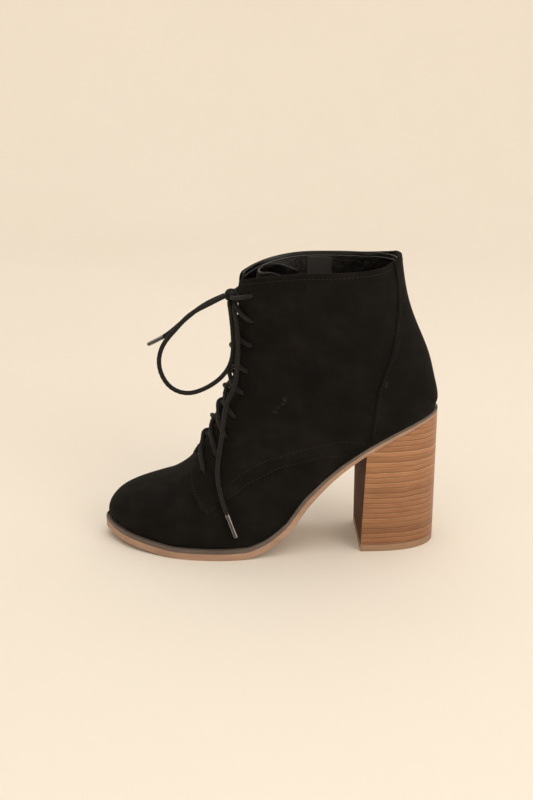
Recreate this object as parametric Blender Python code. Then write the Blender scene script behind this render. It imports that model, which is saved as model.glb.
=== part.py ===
"""Left lace-up ankle boot with a block heel, built as a shoemaker's assembly.

Frame: +X to the toe, +Y to the outer (lateral) side, +Z up, origin on the floor under the middle.
Sizes below are millimetres; the meshes are made in metres.
"""
import math

import bmesh
import bpy
import numpy as np
from mathutils import Matrix

MM = 0.001
FIT_GAP = 0.3
SEAT_GAP = 0.6

# Layers of the sole and the wall of the upper
OUTSOLE_FOREFOOT = 5.0
OUTSOLE_HEEL = 2.3
WELT_FOREFOOT = 2.6
WELT_HEEL = 1.5
TAPER_FROM_X = 25.0
TAPER_TO_X = -75.0
INSOLE_THICK = 2.5
INSOLE_CLEARANCE = 2.2
WALL = 2.0
OVERLAY_STEP = 1.1

# Heel
HEEL_BREAST_X = -65.0
TOP_LIFT_THICK = 5.0
HEEL_INSET = 0.3

# Throat and tongue
TONGUE_THICK = 1.8
TONGUE_CLEARANCE = 1.0
TONGUE_LEAN = 9.0
TONGUE_HALF_BOTTOM = 0.16
TONGUE_HALF_TOP = 0.30

# Inside zip with its slider and pull tab
ZIP_X = -37.0
ZIP_TOP_Z = 188.5
ZIP_BOTTOM_Z = 92.0
ZIP_WIDTH = 6.0
ZIP_THICK = 1.4
SLIDER_LENGTH = 11.0
SLIDER_WIDTH = 8.0
SLIDER_THICK = 2.6
EAR_WIDTH = 1.1
PIN_RADIUS = 0.7
PIN_REACH = 2.2
EYE_RADIUS = 1.8
TAB_LENGTH = 20.0
TAB_WIDTH = 5.0
TAB_THICK = 1.2
OVERCUT = 1.0

# Lace: its thickness, how it clears the facing, its turn at an eyelet, and the knot
LACE_RADIUS = 1.5
LACE_CLEARANCE = 0.75
EYE_TURN = 2.2
KNOT_AT = (25.2, 0.0, 178.8)
KNOT_HALF = (4.6, 5.4, 3.8)
KNOT_SECTION = 0.905
KNOT_STRAND_WIDTH = 4.9
AGLET_RADIUS = 1.6

# Sole seen from above at the upper's edge, with the height of its underside and the ledge outside the upper
SOLE_COLUMNS = ("x", "lateral", "medial", "ground", "ledge")
SOLE_ROWS = (
    (115.3, -6.0, -6.0, 6.2, 2.7),
    (108.0, 8.5, -19.5, 4.3, 2.7),
    (98.0, 19.5, -27.5, 3.1, 2.7),
    (84.0, 29.0, -34.5, 1.7, 2.7),
    (64.0, 37.5, -39.8, 0.0, 2.6),
    (48.0, 40.6, -41.2, 0.0, 2.6),
    (30.0, 41.2, -38.5, 0.0, 2.5),
    (16.0, 39.6, -34.2, 0.4, 2.4),
    (4.0, 37.2, -30.2, 4.0, 2.2),
    (-12.0, 33.6, -26.0, 15.0, 1.9),
    (-30.0, 30.0, -23.6, 38.0, 1.6),
    (-52.0, 27.9, -24.0, 60.0, 1.2),
    (-78.0, 27.3, -26.2, 78.5, 0.8),
    (-100.0, 22.9, -22.6, 89.5, 0.6),
    (-112.0, 14.6, -14.5, 93.8, 0.6),
    (-118.0, 0.0, 0.0, 95.5, 0.6),
)

# Back centre line above the heel seat
BACK_COLUMNS = ("z", "x")
BACK_ROWS = (
    (100.4, -118.0),
    (108.0, -118.2),
    (119.0, -115.9),
    (138.0, -110.8),
    (155.5, -103.4),
    (171.0, -97.2),
    (185.0, -93.4),
    (207.0, -89.8),
)

# Sections of the last, fanned from the toe tip over the instep to the collar. Each runs from the ridge to its
# end: an x on the sole's edge, or 1 to 2 from the heel seat up the back line
LAST_COLUMNS = ("ridge_x", "ridge_z", "ridge_y", "end", "lateral", "medial", "wide_at", "top", "crown")
LAST_ROWS = (
    (115.3, 14.4, -6.0, 115.3, -6.0, -6.0, 0.60, 2.0, 0.0),
    (115.6, 21.5, -6.0, 113.4, 2.0, -13.6, 0.60, 2.0, 0.0),
    (112.0, 29.0, -6.0, 108.6, 9.5, -20.6, 0.62, 2.1, 0.0),
    (102.5, 37.0, -5.5, 99.5, 20.0, -28.3, 0.66, 2.15, 0.0),
    (85.0, 43.8, -5.0, 83.0, 31.2, -36.8, 0.70, 2.1, 0.0),
    (66.0, 50.6, -4.0, 61.0, 39.8, -42.0, 0.72, 2.0, 0.0),
    (53.0, 62.5, -3.0, 38.0, 42.4, -41.2, 0.72, 1.9, 0.0),
    (43.0, 80.0, -2.0, 14.0, 40.2, -36.4, 0.70, 1.9, 0.0),
    (34.5, 98.0, -1.0, -12.0, 36.0, -31.0, 0.66, 1.9, 0.0),
    (28.5, 114.0, 0.0, -38.0, 33.0, -30.0, 0.60, 1.95, 0.0),
    (25.3, 129.0, 0.0, -68.0, 31.6, -30.6, 0.56, 2.0, 0.0),
    (23.8, 143.0, 0.0, -98.0, 31.0, -30.6, 0.54, 2.0, 0.0),
    (23.0, 154.0, 0.0, -118.0, 30.6, -30.4, 0.52, 2.0, 0.0),
    (22.4, 163.0, 0.0, 1.24, 30.8, -30.6, 0.50, 2.05, 0.0),
    (21.8, 173.0, 0.0, 1.50, 31.8, -31.6, 0.49, 2.1, 0.8),
    (21.2, 182.0, 0.0, 1.75, 33.8, -33.6, 0.48, 2.1, 2.6),
    (20.5, 191.0, 0.0, 2.0, 36.0, -36.0, 0.48, 2.1, 4.8),
)

# Panel edges on the upper: the quarter's lower edge and the back panel's front edge, as shares of a section
PANEL_COLUMNS = ("section", "quarter_edge", "panel_edge")
PANEL_ROWS = (
    (0.000, 0.45, 0.74),
    (0.300, 0.28, 0.70),
    (0.366, 0.31, 0.72),
    (0.374, 0.38, 0.72),
    (0.386, 0.418, 0.73),
    (0.440, 0.414, 0.74),
    (0.480, 0.43, 0.76),
    (0.520, 0.49, 0.80),
    (0.560, 0.64, 0.88),
    (0.600, 0.85, 0.96),
    (0.635, 0.84, 0.93),
    (0.660, 0.68, 0.78),
    (0.700, 0.55, 0.66),
    (0.750, 0.51, 0.62),
    (0.800, 0.52, 0.66),
    (0.860, 0.54, 0.74),
    (0.920, 0.56, 0.845),
    (0.955, 0.56, 0.90),
    (1.000, 0.56, 0.90),
)
QUARTER_FRONT = 0.366
QUARTER_MEETS_SOLE = 0.606
PANEL_MEETS_SOLE = 0.634
QUARTER_ON_SOLE_X = (-40.0, -56.0)
PANEL_ON_SOLE_X = (-66.0, -80.0)

# Pairs of eyelets from the vamp to the collar: section, and distance from the ridge to each side
EYELET_COLUMNS = ("section", "width")
EYELET_ROWS = (
    (0.404, 28.0),
    (0.449, 26.0),
    (0.490, 23.0),
    (0.533, 21.0),
    (0.591, 19.0),
    (0.648, 17.5),
    (0.736, 16.5),
    (0.839, 18.0),
    (0.940, 21.0),
)

# The throat slot: where it starts along the sections and half its width there and at the collar
THROAT_SECTION = 0.385
THROAT_ROUNDING = 0.02
THROAT_HALF = 10.5
COLLAR_HALF = 9.0


def table_column(rows, columns, name):
    """One named column of a table as an array."""
    return np.array([row[columns.index(name)] for row in rows], dtype=float)


def natural_spline(knots, values, at):
    """Natural cubic spline through the knots."""
    knots, values = np.asarray(knots, float), np.asarray(values, float)
    at = np.asarray(at, float)
    step = np.diff(knots)
    rise = np.diff(values) / step
    count = len(knots)
    matrix = np.eye(count)
    right = np.zeros(count)
    for i in range(1, count - 1):
        matrix[i, i - 1:i + 2] = step[i - 1], 2 * (step[i - 1] + step[i]), step[i]
        right[i] = 6 * (rise[i] - rise[i - 1])
    bend = np.linalg.solve(matrix, right)
    i = np.clip(np.searchsorted(knots, at) - 1, 0, count - 2)
    u = at - knots[i]
    slope = rise[i] - step[i] * (2 * bend[i] + bend[i + 1]) / 6
    return values[i] + u * (slope + u * (bend[i] / 2 + u * (bend[i + 1] - bend[i]) / (6 * step[i])))


def steady_spline(knots, values, at):
    """Cubic spline that never overshoots its knots, so that flat stretches stay flat."""
    knots, values = np.asarray(knots, float), np.asarray(values, float)
    at = np.asarray(at, float)
    step = np.diff(knots)
    rise = np.diff(values) / step
    slope = np.zeros(len(knots))
    same_way = rise[:-1] * rise[1:] > 0
    mean = 2 * rise[:-1] * rise[1:] / np.where(same_way, rise[:-1] + rise[1:], 1)
    slope[1:-1] = np.where(same_way, mean, 0)
    slope[0], slope[-1] = rise[0], rise[-1]
    i = np.clip(np.searchsorted(knots, at) - 1, 0, len(knots) - 2)
    u = (at - knots[i]) / step[i]
    return (values[i] * (1 + 2 * u) * (1 - u) ** 2 + values[i + 1] * u * u * (3 - 2 * u)
            + step[i] * (slope[i] * u * (1 - u) ** 2 - slope[i + 1] * u * u * (1 - u)))


SOLE_X = table_column(SOLE_ROWS, SOLE_COLUMNS, "x")
TOE_X, HEEL_X = SOLE_X[0], SOLE_X[-1]
BACK_Z = table_column(BACK_ROWS, BACK_COLUMNS, "z")


def station_at(x):
    """Place along the sole, 0 at the toe to 1 at the heel, spaced like a half turn so both ends are round."""
    share = np.clip((TOE_X - np.asarray(x, float)) / (TOE_X - HEEL_X), 0, 1)
    return np.arccos(1 - 2 * share) / math.pi


def station_x(station):
    return TOE_X - (TOE_X - HEEL_X) * (1 - np.cos(math.pi * np.asarray(station, float))) / 2


def sole_value(name, station):
    return natural_spline(station_at(SOLE_X), table_column(SOLE_ROWS, SOLE_COLUMNS, name), station)


def outline(station, side, outset=0.0):
    """Sole outline at the upper's edge on one side (+1 lateral, -1 medial), moved out square to itself."""
    name = "lateral" if side > 0 else "medial"
    small = 1e-4
    station = np.asarray(station, float)
    x, y = station_x(station), sole_value(name, station)
    low, high = np.clip(station - small, 0, 1), np.clip(station + small, 0, 1)
    dx = np.where((station > 0) & (station < 1), station_x(high) - station_x(low), 0)
    dy = sole_value(name, high) - sole_value(name, low)
    length = np.hypot(dx, dy)
    return x + side * dy / length * outset, y - side * dx / length * outset


def ground(x):
    """Height of the sole's underside."""
    x = np.clip(x, HEEL_X, TOE_X)
    return steady_spline(SOLE_X[::-1], table_column(SOLE_ROWS, SOLE_COLUMNS, "ground")[::-1], x)


def taper(x, forefoot, heel):
    """A sole layer's height at x: forefoot thickness easing to the heel's, measured square to the slope."""
    share = np.clip((np.asarray(x, float) - TAPER_TO_X) / (TAPER_FROM_X - TAPER_TO_X), 0, 1)
    share = share * share * (3 - 2 * share)
    slope = (ground(x + 0.5) - ground(x - 0.5))
    return (heel + (forefoot - heel) * share) * np.sqrt(1 + slope * slope)


def outsole_top(x):
    return ground(x) + taper(x, OUTSOLE_FOREFOOT, OUTSOLE_HEEL)


def welt_top(x):
    return outsole_top(x) + FIT_GAP + taper(x, WELT_FOREFOOT, WELT_HEEL)


def ease(start, stop, at):
    """0 before start, 1 past stop, smooth between."""
    share = np.clip((np.asarray(at, float) - start) / (stop - start), 0, 1)
    return share * share * (3 - 2 * share)


def overlay_inset(x):
    """How far the last lies inside the sole's outline, so that quarter and back panel come flush with it."""
    return OVERLAY_STEP * (ease(QUARTER_ON_SOLE_X[0], QUARTER_ON_SOLE_X[1], x)
                           + ease(PANEL_ON_SOLE_X[0], PANEL_ON_SOLE_X[1], x))


def end_point(end, side):
    """End of a section: on the sole's edge for 0 to 1, on the back line for 1 to 2."""
    end = np.asarray(end, float)
    on_sole = np.clip(end, 0, 1)
    x, y = outline(on_sole, side, -overlay_inset(station_x(on_sole)))
    z = welt_top(x) + SEAT_GAP
    up = np.clip(end - 1, 0, 1)
    heel_z = float(welt_top(HEEL_X) + SEAT_GAP)
    back_z = heel_z + up * (BACK_Z[-1] - heel_z)
    back_x = natural_spline(BACK_Z, table_column(BACK_ROWS, BACK_COLUMNS, "x"), back_z) + 2 * OVERLAY_STEP
    back = end > 1
    return np.where(back, back_x, x), np.where(back, 0, y), np.where(back, back_z, z)


def section_end(rows):
    """The end column holds x for ends on the sole and 1 to 2 for ends on the back line."""
    value = table_column(rows, LAST_COLUMNS, "end")
    return np.where((value > 1) & (value <= 2), value, station_at(value))


LAST_AT = np.linspace(0, 1, len(LAST_ROWS))

# Scales the crown's curve, share times the square of what is left, to 1 at its top
CROWN_PEAK = 6.75

# The section that ends at the back of the heel seat
HEEL_BACK_SECTION = float(LAST_AT[np.argmin(np.abs(section_end(LAST_ROWS) - 1))])


def last_value(name, section):
    values = section_end(LAST_ROWS) if name == "end" else table_column(LAST_ROWS, LAST_COLUMNS, name)
    return natural_spline(LAST_AT, values, section)


def last_point(section, share, side):
    """Point of the last: along a section from the ridge (share 0) past its widest (0.5) to its end (1).

    Both halves are quarter turns, ridge to widest and widest to the end; the crown lifts the middle.
    """
    section, share = np.broadcast_arrays(np.asarray(section, float), np.asarray(share, float))
    end = np.clip(last_value("end", section), 0, 2)
    end_x, end_y, end_z = end_point(end, side)
    ridge_x, ridge_z = last_value("ridge_x", section), last_value("ridge_z", section)
    ridge_y = last_value("ridge_y", section)
    wide_y = last_value("lateral" if side > 0 else "medial", section)
    wide_at = last_value("wide_at", section)
    upper_turn = np.clip(share / 0.5, 0, 1) * math.pi / 2
    lower_turn = np.clip((share - 0.5) / 0.5, 0, 1) * math.pi / 2
    top = 2 / last_value("top", section)
    on_top = share <= 0.5
    down = np.where(on_top, wide_at * (1 - np.cos(upper_turn) ** top),
                    wide_at + (1 - wide_at) * np.sin(lower_turn))
    y = np.where(on_top, ridge_y + (wide_y - ridge_y) * np.sin(upper_turn) ** top,
                 end_y + (wide_y - end_y) * np.cos(lower_turn))
    z = ridge_z + down * (end_z - ridge_z) + last_value("crown", section) * CROWN_PEAK * down * (1 - down) ** 2
    return np.stack((ridge_x + down * (end_x - ridge_x), y, z), axis=-1)


def share_at_width(section, width, side):
    """Share of a section at which it is the given distance to the side of the ridge."""
    wide = last_value("lateral" if side > 0 else "medial", section) - last_value("ridge_y", section)
    reach = np.clip(width / np.maximum(np.abs(wide), FIT_GAP), 0, 1)
    return np.arcsin(reach ** (last_value("top", section) / 2)) / math.pi


def throat_half(section):
    """Half the throat slot's width: none on the vamp, round at its foot, widening to the collar."""
    past = np.clip((section - THROAT_SECTION) / THROAT_ROUNDING, 0, 1)
    along = np.clip((section - THROAT_SECTION) / (1 - THROAT_SECTION), 0, 1)
    return np.sqrt(past * (2 - past)) * (THROAT_HALF + (COLLAR_HALF - THROAT_HALF) * along)


def panel_value(name, section):
    at = table_column(PANEL_ROWS, PANEL_COLUMNS, "section")
    return steady_spline(at, table_column(PANEL_ROWS, PANEL_COLUMNS, name), section)


def wall_normal(section, share, side):
    """Outward direction of the last, from its slopes along and across the sections."""
    small = 1e-4
    along = last_point(section + small, share, side) - last_point(section - small, share, side)
    across = last_point(section, share + small, side) - last_point(section, share - small, side)
    normal = side * np.cross(across, along)
    return normal / np.linalg.norm(normal, axis=-1, keepdims=True)


def on_wall(section, width, lift):
    """Point over the last at a signed distance from the ridge (+ lateral), raised square to it."""
    side = 1 if width >= 0 else -1
    share = max(float(share_at_width(section, abs(width), side)), 2e-4)
    return last_point(section, share, side) + wall_normal(section, share, side) * lift


def wall_at(x, z, side, lift):
    """Point over the wall at a given x and height, found by Newton's steps on section and share."""
    place = np.array((0.9, 0.5))
    small = 1e-4
    for _ in range(30):
        here = last_point(*place, side)[[0, 2]]
        by_section = (last_point(place[0] + small, place[1], side)[[0, 2]] - here) / small
        by_share = (last_point(place[0], place[1] + small, side)[[0, 2]] - here) / small
        move = np.linalg.solve(np.column_stack((by_section, by_share)), np.array((x, z)) - here)
        place = place + np.clip(move, -0.05, 0.05)
    return last_point(*place, side) + wall_normal(*place, side) * lift


MID_X = (outline(0.0, 1, sole_value("ledge", 0.0))[0] + outline(1.0, 1, sole_value("ledge", 1.0))[0]) / 2
EVERY_STATION = np.linspace(0, 1, 400)
MID_Y = (np.max(outline(EVERY_STATION, 1, sole_value("ledge", EVERY_STATION))[1])
         + np.min(outline(EVERY_STATION, -1, sole_value("ledge", EVERY_STATION))[1])) / 2


def to_frame(points):
    """Millimetres of the last to metres of the part's frame, centred over its footprint."""
    return (np.asarray(points, float) - (MID_X, MID_Y, 0)) * MM


def clear_scene():
    for old in list(bpy.data.objects):
        bpy.data.objects.remove(old, do_unlink=True)


def paint(name, colour, roughness, metallic=0.0):
    """A Principled material; the colour is linear RGB."""
    material = bpy.data.materials.new(name)
    material.use_nodes = True
    shader = material.node_tree.nodes["Principled BSDF"]
    shader.inputs["Base Color"].default_value = (*colour, 1)
    shader.inputs["Roughness"].default_value = roughness
    shader.inputs["Metallic"].default_value = metallic
    return material


def weld(points, faces):
    """Merge points that coincide and drop the faces that collapse."""
    _, first, index = np.unique(np.round(points, 4), axis=0, return_index=True, return_inverse=True)
    index = index.reshape(-1)
    kept = []
    for face in faces:
        ring = []
        for corner in index[list(face)]:
            if corner not in ring:
                ring.append(int(corner))
        if len(ring) > 2:
            kept.append(ring)
    return points[first], kept, first


def grid_faces(rows, columns, start=0, flip=False):
    """Quads of a grid of points stored row by row."""
    i, j = np.meshgrid(np.arange(rows - 1), np.arange(columns - 1), indexing="ij")
    a = (start + i * columns + j).ravel()
    quads = np.stack((a, a + 1, a + columns + 1, a + columns), axis=1)
    return quads[:, ::-1] if flip else quads


def point_normals(points, faces):
    """Outward direction at each point: the sum of its faces' normals."""
    total = np.zeros_like(points)
    for face in faces:
        ring = points[face]
        normal = np.cross(ring[2] - ring[0], ring[-1] - ring[1])
        total[face] += normal
    return total / np.maximum(np.linalg.norm(total, axis=1, keepdims=True), 1e-12)


def shell(outer, inner, faces):
    """Close two matching sheets into one wall: outer faces, inner faces turned over, and the rims between."""
    count = len(outer)
    edges = {}
    for face in faces:
        for one, two in zip(face, face[1:] + face[:1]):
            edges[(one, two)] = edges.get((one, two), 0) + 1
    rims = [(two, one, one + count, two + count) for one, two in edges if (two, one) not in edges]
    back = [[corner + count for corner in reversed(face)] for face in faces]
    return np.concatenate((outer, inner)), list(faces) + back + [list(rim) for rim in rims]


def solid(name, points, faces, material, collection):
    """Mesh object from millimetre points, with its faces turned outwards and smooth rounds."""
    mesh = bpy.data.meshes.new(name)
    mesh.from_pydata(to_frame(points).tolist(), [], [list(map(int, face)) for face in faces])
    work = bmesh.new()
    work.from_mesh(mesh)
    bmesh.ops.recalc_face_normals(work, faces=work.faces)
    work.to_mesh(mesh)
    work.free()
    mesh.shade_smooth()
    mesh.set_sharp_from_angle(angle=math.radians(40))
    mesh.materials.append(material)
    part = bpy.data.objects.new(name, mesh)
    collection.objects.link(part)
    return part


SOLE_STATIONS = 33
SOLE_LANES = 4


def plate(name, low, high, outset, material, collection, stations=None):
    """A layer with the sole's outline: low and high give its heights at x, outset its reach past the upper."""
    if stations is None:
        stations = np.linspace(0, 1, SOLE_STATIONS)
    lane = np.linspace(0, 1, SOLE_LANES)[None, :]
    reach = outset(stations)
    left_x, left_y = outline(stations, 1, reach)
    right_x, right_y = outline(stations, -1, reach)
    x = left_x[:, None] + (right_x - left_x)[:, None] * lane
    y = left_y[:, None] + (right_y - left_y)[:, None] * lane
    sheet = np.stack((x, y), axis=-1).reshape(-1, 2)
    top = np.column_stack((sheet, high(sheet[:, 0])))
    faces = grid_faces(len(stations), SOLE_LANES, flip=True)
    points, kept, first = weld(top, faces)
    bottom = np.column_stack((sheet, low(sheet[:, 0])))[first]
    return solid(name, *shell(points, bottom, kept), material, collection)


def past_upper(stations):
    """The sole's own edge: the ledge outside the upper."""
    return sole_value("ledge", stations)


def heel_edge(stations):
    return past_upper(stations) - HEEL_INSET


def inside_wall(stations):
    """Edge of what lies inside the upper's wall."""
    return -overlay_inset(station_x(stations)) - WALL - INSOLE_CLEARANCE


def flat(height):
    """A height that is the same at every x."""
    return lambda x: np.full_like(x, height)


def build_sole(collection, finishes):
    """Outsole, welt and insole, one on the other."""
    plate("outsole", ground, outsole_top, past_upper, finishes["outsole"], collection)
    plate("welt", lambda x: outsole_top(x) + FIT_GAP, welt_top, past_upper, finishes["welt"], collection)
    plate("insole", lambda x: welt_top(x) + SEAT_GAP, lambda x: welt_top(x) + SEAT_GAP + INSOLE_THICK,
          inside_wall, finishes["insole"], collection)


HEEL_STATIONS = 15


def build_heel(collection, finishes):
    """Heel block between the sole and the top lift, cut square at the breast."""
    stations = np.linspace(float(station_at(HEEL_BREAST_X)), 1, HEEL_STATIONS)
    plate("heel_block", flat(TOP_LIFT_THICK + FIT_GAP), lambda x: ground(x) - FIT_GAP, heel_edge,
          finishes["heel"], collection, stations)
    plate("heel_top_lift", flat(0.0), flat(TOP_LIFT_THICK), heel_edge, finishes["top_lift"], collection, stations)


UPPER_SECTIONS = 36
TIP_CROWDING = 1.5
SEAT_SPACING = 9.0
SEAT_BAND = 5.0
ROWS_ABOVE_QUARTER = 6
ROWS_BETWEEN = 4
ROWS_PANEL = 4
STEP_WIDTH = 0.003


def upper_sections():
    """Sections of the upper's grid: crowded at the toe, a close pair at the quarter's front edge, and
    halved where they land far apart on the sole."""
    even = np.linspace(0, 1, UPPER_SECTIONS) ** TIP_CROWDING
    even = even[np.abs(even - QUARTER_FRONT) > 0.008]
    even = even[np.abs(even - THROAT_SECTION) > 0.006]
    even = even[np.abs(even - HEEL_BACK_SECTION) > 0.006]
    throat = THROAT_SECTION + THROAT_ROUNDING * np.array((0.0, 0.12, 0.5))
    fixed = (QUARTER_FRONT - STEP_WIDTH, QUARTER_FRONT, HEEL_BACK_SECTION)
    sections = np.unique(np.concatenate((even, fixed, throat)))
    foot_x = station_x(np.clip(last_value("end", sections), 0, 1))
    wide = np.flatnonzero(np.abs(np.diff(foot_x)) > SEAT_SPACING)
    return np.sort(np.concatenate((sections, (sections[wide] + sections[wide + 1]) / 2)))


def upper_shares(section, side):
    """Rows of one section, from the throat's edge to the end, with close pairs along the panel edges."""
    edge = share_at_width(section, throat_half(section), side)[:, None]
    quarter = panel_value("quarter_edge", section)[:, None]
    panel = panel_value("panel_edge", section)[:, None]
    first = np.linspace(0, 1, ROWS_ABOVE_QUARTER)[None, :]
    second = np.linspace(0, 1, ROWS_BETWEEN)[None, :]
    third = np.linspace(0, 1, ROWS_PANEL)[None, :]
    return np.concatenate((
        edge + (quarter - STEP_WIDTH - edge) * first,
        quarter + STEP_WIDTH + (panel - quarter - 2 * STEP_WIDTH) * second,
        panel + STEP_WIDTH + (1 - panel - STEP_WIDTH) * third), axis=1)


def upper_steps(section):
    """Height of the overlays at each point of the grid: quarter over vamp, back panel over quarter."""
    rows = ROWS_ABOVE_QUARTER + ROWS_BETWEEN + ROWS_PANEL
    row = np.arange(rows)[None, :]
    section = section[:, None]
    quarter = (section >= QUARTER_FRONT) & ((row < ROWS_ABOVE_QUARTER) | (section > QUARTER_MEETS_SOLE))
    panel = (section > PANEL_MEETS_SOLE) & (row >= ROWS_ABOVE_QUARTER + ROWS_BETWEEN)
    return OVERLAY_STEP * (quarter.astype(float) + panel)


def build_upper(collection, finishes):
    """One hollow wall: both halves of the last from the sole's edge to the throat and the collar.

    Close to the welt the wall is laid off level and follows the welt's slope, so that its foot stays seated.
    """
    section = upper_sections()
    points, faces, steps = [], [], []
    for side in (1, -1):
        grid = last_point(section[:, None], upper_shares(section, side), side)
        start = sum(len(block) for block in points)
        faces.append(grid_faces(*grid.shape[:2], start=start, flip=side < 0))
        points.append(grid.reshape(-1, 3))
        steps.append(upper_steps(section).reshape(-1))
    base, kept, first = weld(np.concatenate(points), np.concatenate(faces))
    lift = np.concatenate(steps)[first][:, None]
    normals = point_normals(base, kept)
    height = base[:, 2] - welt_top(base[:, 0])
    low = height < SEAT_BAND
    normals[low, 2] = 0
    normals[low] /= np.linalg.norm(normals[low], axis=1, keepdims=True)
    outer, inner = base + normals * lift, base - normals * WALL
    for sheet in (outer, inner):
        sheet[low, 2] = welt_top(sheet[low, 0]) + height[low]
    return solid("upper", *shell(outer, inner, kept), finishes["upper"], collection)


TONGUE_SECTIONS = 18
TONGUE_LANES = 9
TONGUE_FROM = THROAT_SECTION - 0.03
TONGUE_TO = 0.985


def build_tongue(collection, finishes):
    """A strip under the facings that leans back from them towards its free top."""
    section = np.linspace(TONGUE_FROM, TONGUE_TO, TONGUE_SECTIONS)
    along = (section - TONGUE_FROM) / (TONGUE_TO - TONGUE_FROM)
    half = TONGUE_HALF_BOTTOM + (TONGUE_HALF_TOP - TONGUE_HALF_BOTTOM) * along
    lane = np.linspace(-1, 1, TONGUE_LANES)
    share = np.abs(lane)[None, :] * half[:, None]
    lateral = last_point(section[:, None], share, 1)
    medial = last_point(section[:, None], share, -1)
    grid = np.where((lane > 0)[None, :, None], lateral, medial)
    faces = grid_faces(*grid.shape[:2])
    points, kept, first = weld(grid.reshape(-1, 3), faces)
    normals = point_normals(points, kept)
    if normals[:, 0].mean() < 0:
        normals = -normals
    depth = WALL + TONGUE_CLEARANCE + TONGUE_LEAN * np.repeat(along, TONGUE_LANES)[first] ** 4
    outer = points - normals * depth[:, None]
    inner = outer - normals * TONGUE_THICK
    return solid("tongue", *shell(outer, inner, kept), finishes["tongue"], collection)


ZIP_ROWS = 16


def build_zip(collection, finishes):
    """Zip chain down the inside wall: a thin strip that follows the quarter's surface."""
    heights = np.linspace(ZIP_TOP_Z, ZIP_BOTTOM_Z, ZIP_ROWS)
    lanes = ZIP_X + np.linspace(-0.5, 0.5, 3) * ZIP_WIDTH
    seat = OVERLAY_STEP + FIT_GAP
    inner = np.array([wall_at(x, z, -1, seat) for z in heights for x in lanes])
    outer = np.array([wall_at(x, z, -1, seat + ZIP_THICK) for z in heights for x in lanes])
    faces = [list(face) for face in grid_faces(ZIP_ROWS, len(lanes))]
    return solid("zip", *shell(outer, inner, faces), finishes["zip"], collection)


def block(size, centre=(0, 0, 0)):
    """A box in a bmesh, in millimetres."""
    work = bmesh.new()
    bmesh.ops.create_cube(work, size=1.0)
    bmesh.ops.scale(work, vec=size, verts=work.verts)
    bmesh.ops.translate(work, vec=centre, verts=work.verts)
    return work


ROD_SIDES = 12


def rod(radius, length):
    """A round bar along X about the origin in a bmesh, in millimetres."""
    work = bmesh.new()
    bmesh.ops.create_cone(work, cap_ends=True, segments=ROD_SIDES, radius1=radius, radius2=radius, depth=length)
    bmesh.ops.rotate(work, cent=(0, 0, 0), matrix=Matrix.Rotation(math.pi / 2, 3, "Y"), verts=work.verts)
    return work


def mesh_object(name, work, place, collection, material=None):
    """Object at a place of the frame from a millimetre bmesh drawn about its own origin."""
    bmesh.ops.scale(work, vec=(MM, MM, MM), verts=work.verts)
    bmesh.ops.recalc_face_normals(work, faces=work.faces)
    mesh = bpy.data.meshes.new(name)
    work.to_mesh(mesh)
    work.free()
    if material:
        mesh.materials.append(material)
    part = bpy.data.objects.new(name, mesh)
    part.location = to_frame(place)
    collection.objects.link(part)
    return part


def combine(part, tool, operation):
    """Boolean with a tool object that is kept as a hidden wire guide."""
    tool.hide_render = True
    tool.display_type = "WIRE"
    change = part.modifiers.new(tool.name, "BOOLEAN")
    change.operation = operation
    change.object = tool


def build_slider(collection, cutters, finishes):
    """Zip slider above the chain with two ears and a pin, and the pull tab that swings on the pin."""
    middle_z = ZIP_TOP_Z + FIT_GAP + SLIDER_LENGTH / 2
    seat_y = wall_at(ZIP_X, middle_z + SLIDER_LENGTH / 2, -1, OVERLAY_STEP + FIT_GAP)[1]
    face_y = seat_y - SLIDER_THICK
    pin = (ZIP_X, face_y - PIN_REACH, middle_z)
    metal = finishes["zip_metal"]
    slider = mesh_object("zip_slider", block((SLIDER_WIDTH, SLIDER_THICK, SLIDER_LENGTH)),
                         (ZIP_X, seat_y - SLIDER_THICK / 2, middle_z), collection, metal)
    ear_middle = TAB_WIDTH / 2 + FIT_GAP + EAR_WIDTH / 2
    ear_reach = PIN_REACH + EYE_RADIUS / 2
    for name, side in (("slider_ear_front", 1), ("slider_ear_back", -1)):
        ear = mesh_object(name, block((EAR_WIDTH, ear_reach + OVERCUT, EYE_RADIUS * 2)),
                          (ZIP_X + side * ear_middle, face_y + (OVERCUT - ear_reach) / 2, middle_z), cutters)
        combine(slider, ear, "UNION")
    bar = mesh_object("slider_pin", rod(PIN_RADIUS, 2 * ear_middle), pin, cutters)
    combine(slider, bar, "UNION")
    tab = mesh_object("zip_pull_tab", block((TAB_WIDTH, TAB_THICK, TAB_LENGTH), (0, 0, -TAB_LENGTH / 2)), pin,
                      collection, metal)
    eye = mesh_object("tab_eye", rod(EYE_RADIUS, TAB_WIDTH - 2 * FIT_GAP), pin, cutters)
    hole = mesh_object("tab_hole", rod(PIN_RADIUS + FIT_GAP, TAB_WIDTH + OVERCUT), pin, cutters)
    combine(tab, eye, "UNION")
    combine(tab, hole, "DIFFERENCE")


def smooth_route(route, spacing):
    """Even points on a smooth curve through the route's own points."""
    route = np.array(route, float)
    run = np.concatenate(((0,), np.cumsum(np.linalg.norm(np.diff(route, axis=0), axis=1))))
    at = np.linspace(0, run[-1], max(int(round(run[-1] / spacing)), 2) + 1)
    return np.stack([natural_spline(run, route[:, axis], at) for axis in range(3)], axis=1)


def tube(name, points, radius, collection, material, sides_level=2):
    """A round cord along points, as a curve with closed ends."""
    curve = bpy.data.curves.new(name, "CURVE")
    curve.dimensions = "3D"
    curve.bevel_depth = radius * MM
    curve.bevel_resolution = sides_level
    curve.use_fill_caps = True
    spline = curve.splines.new("POLY")
    spline.points.add(len(points) - 1)
    for point, place in zip(spline.points, to_frame(points)):
        point.co = (*place, 1)
    curve.materials.append(material)
    part = bpy.data.objects.new(name, curve)
    collection.objects.link(part)
    return part


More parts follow.
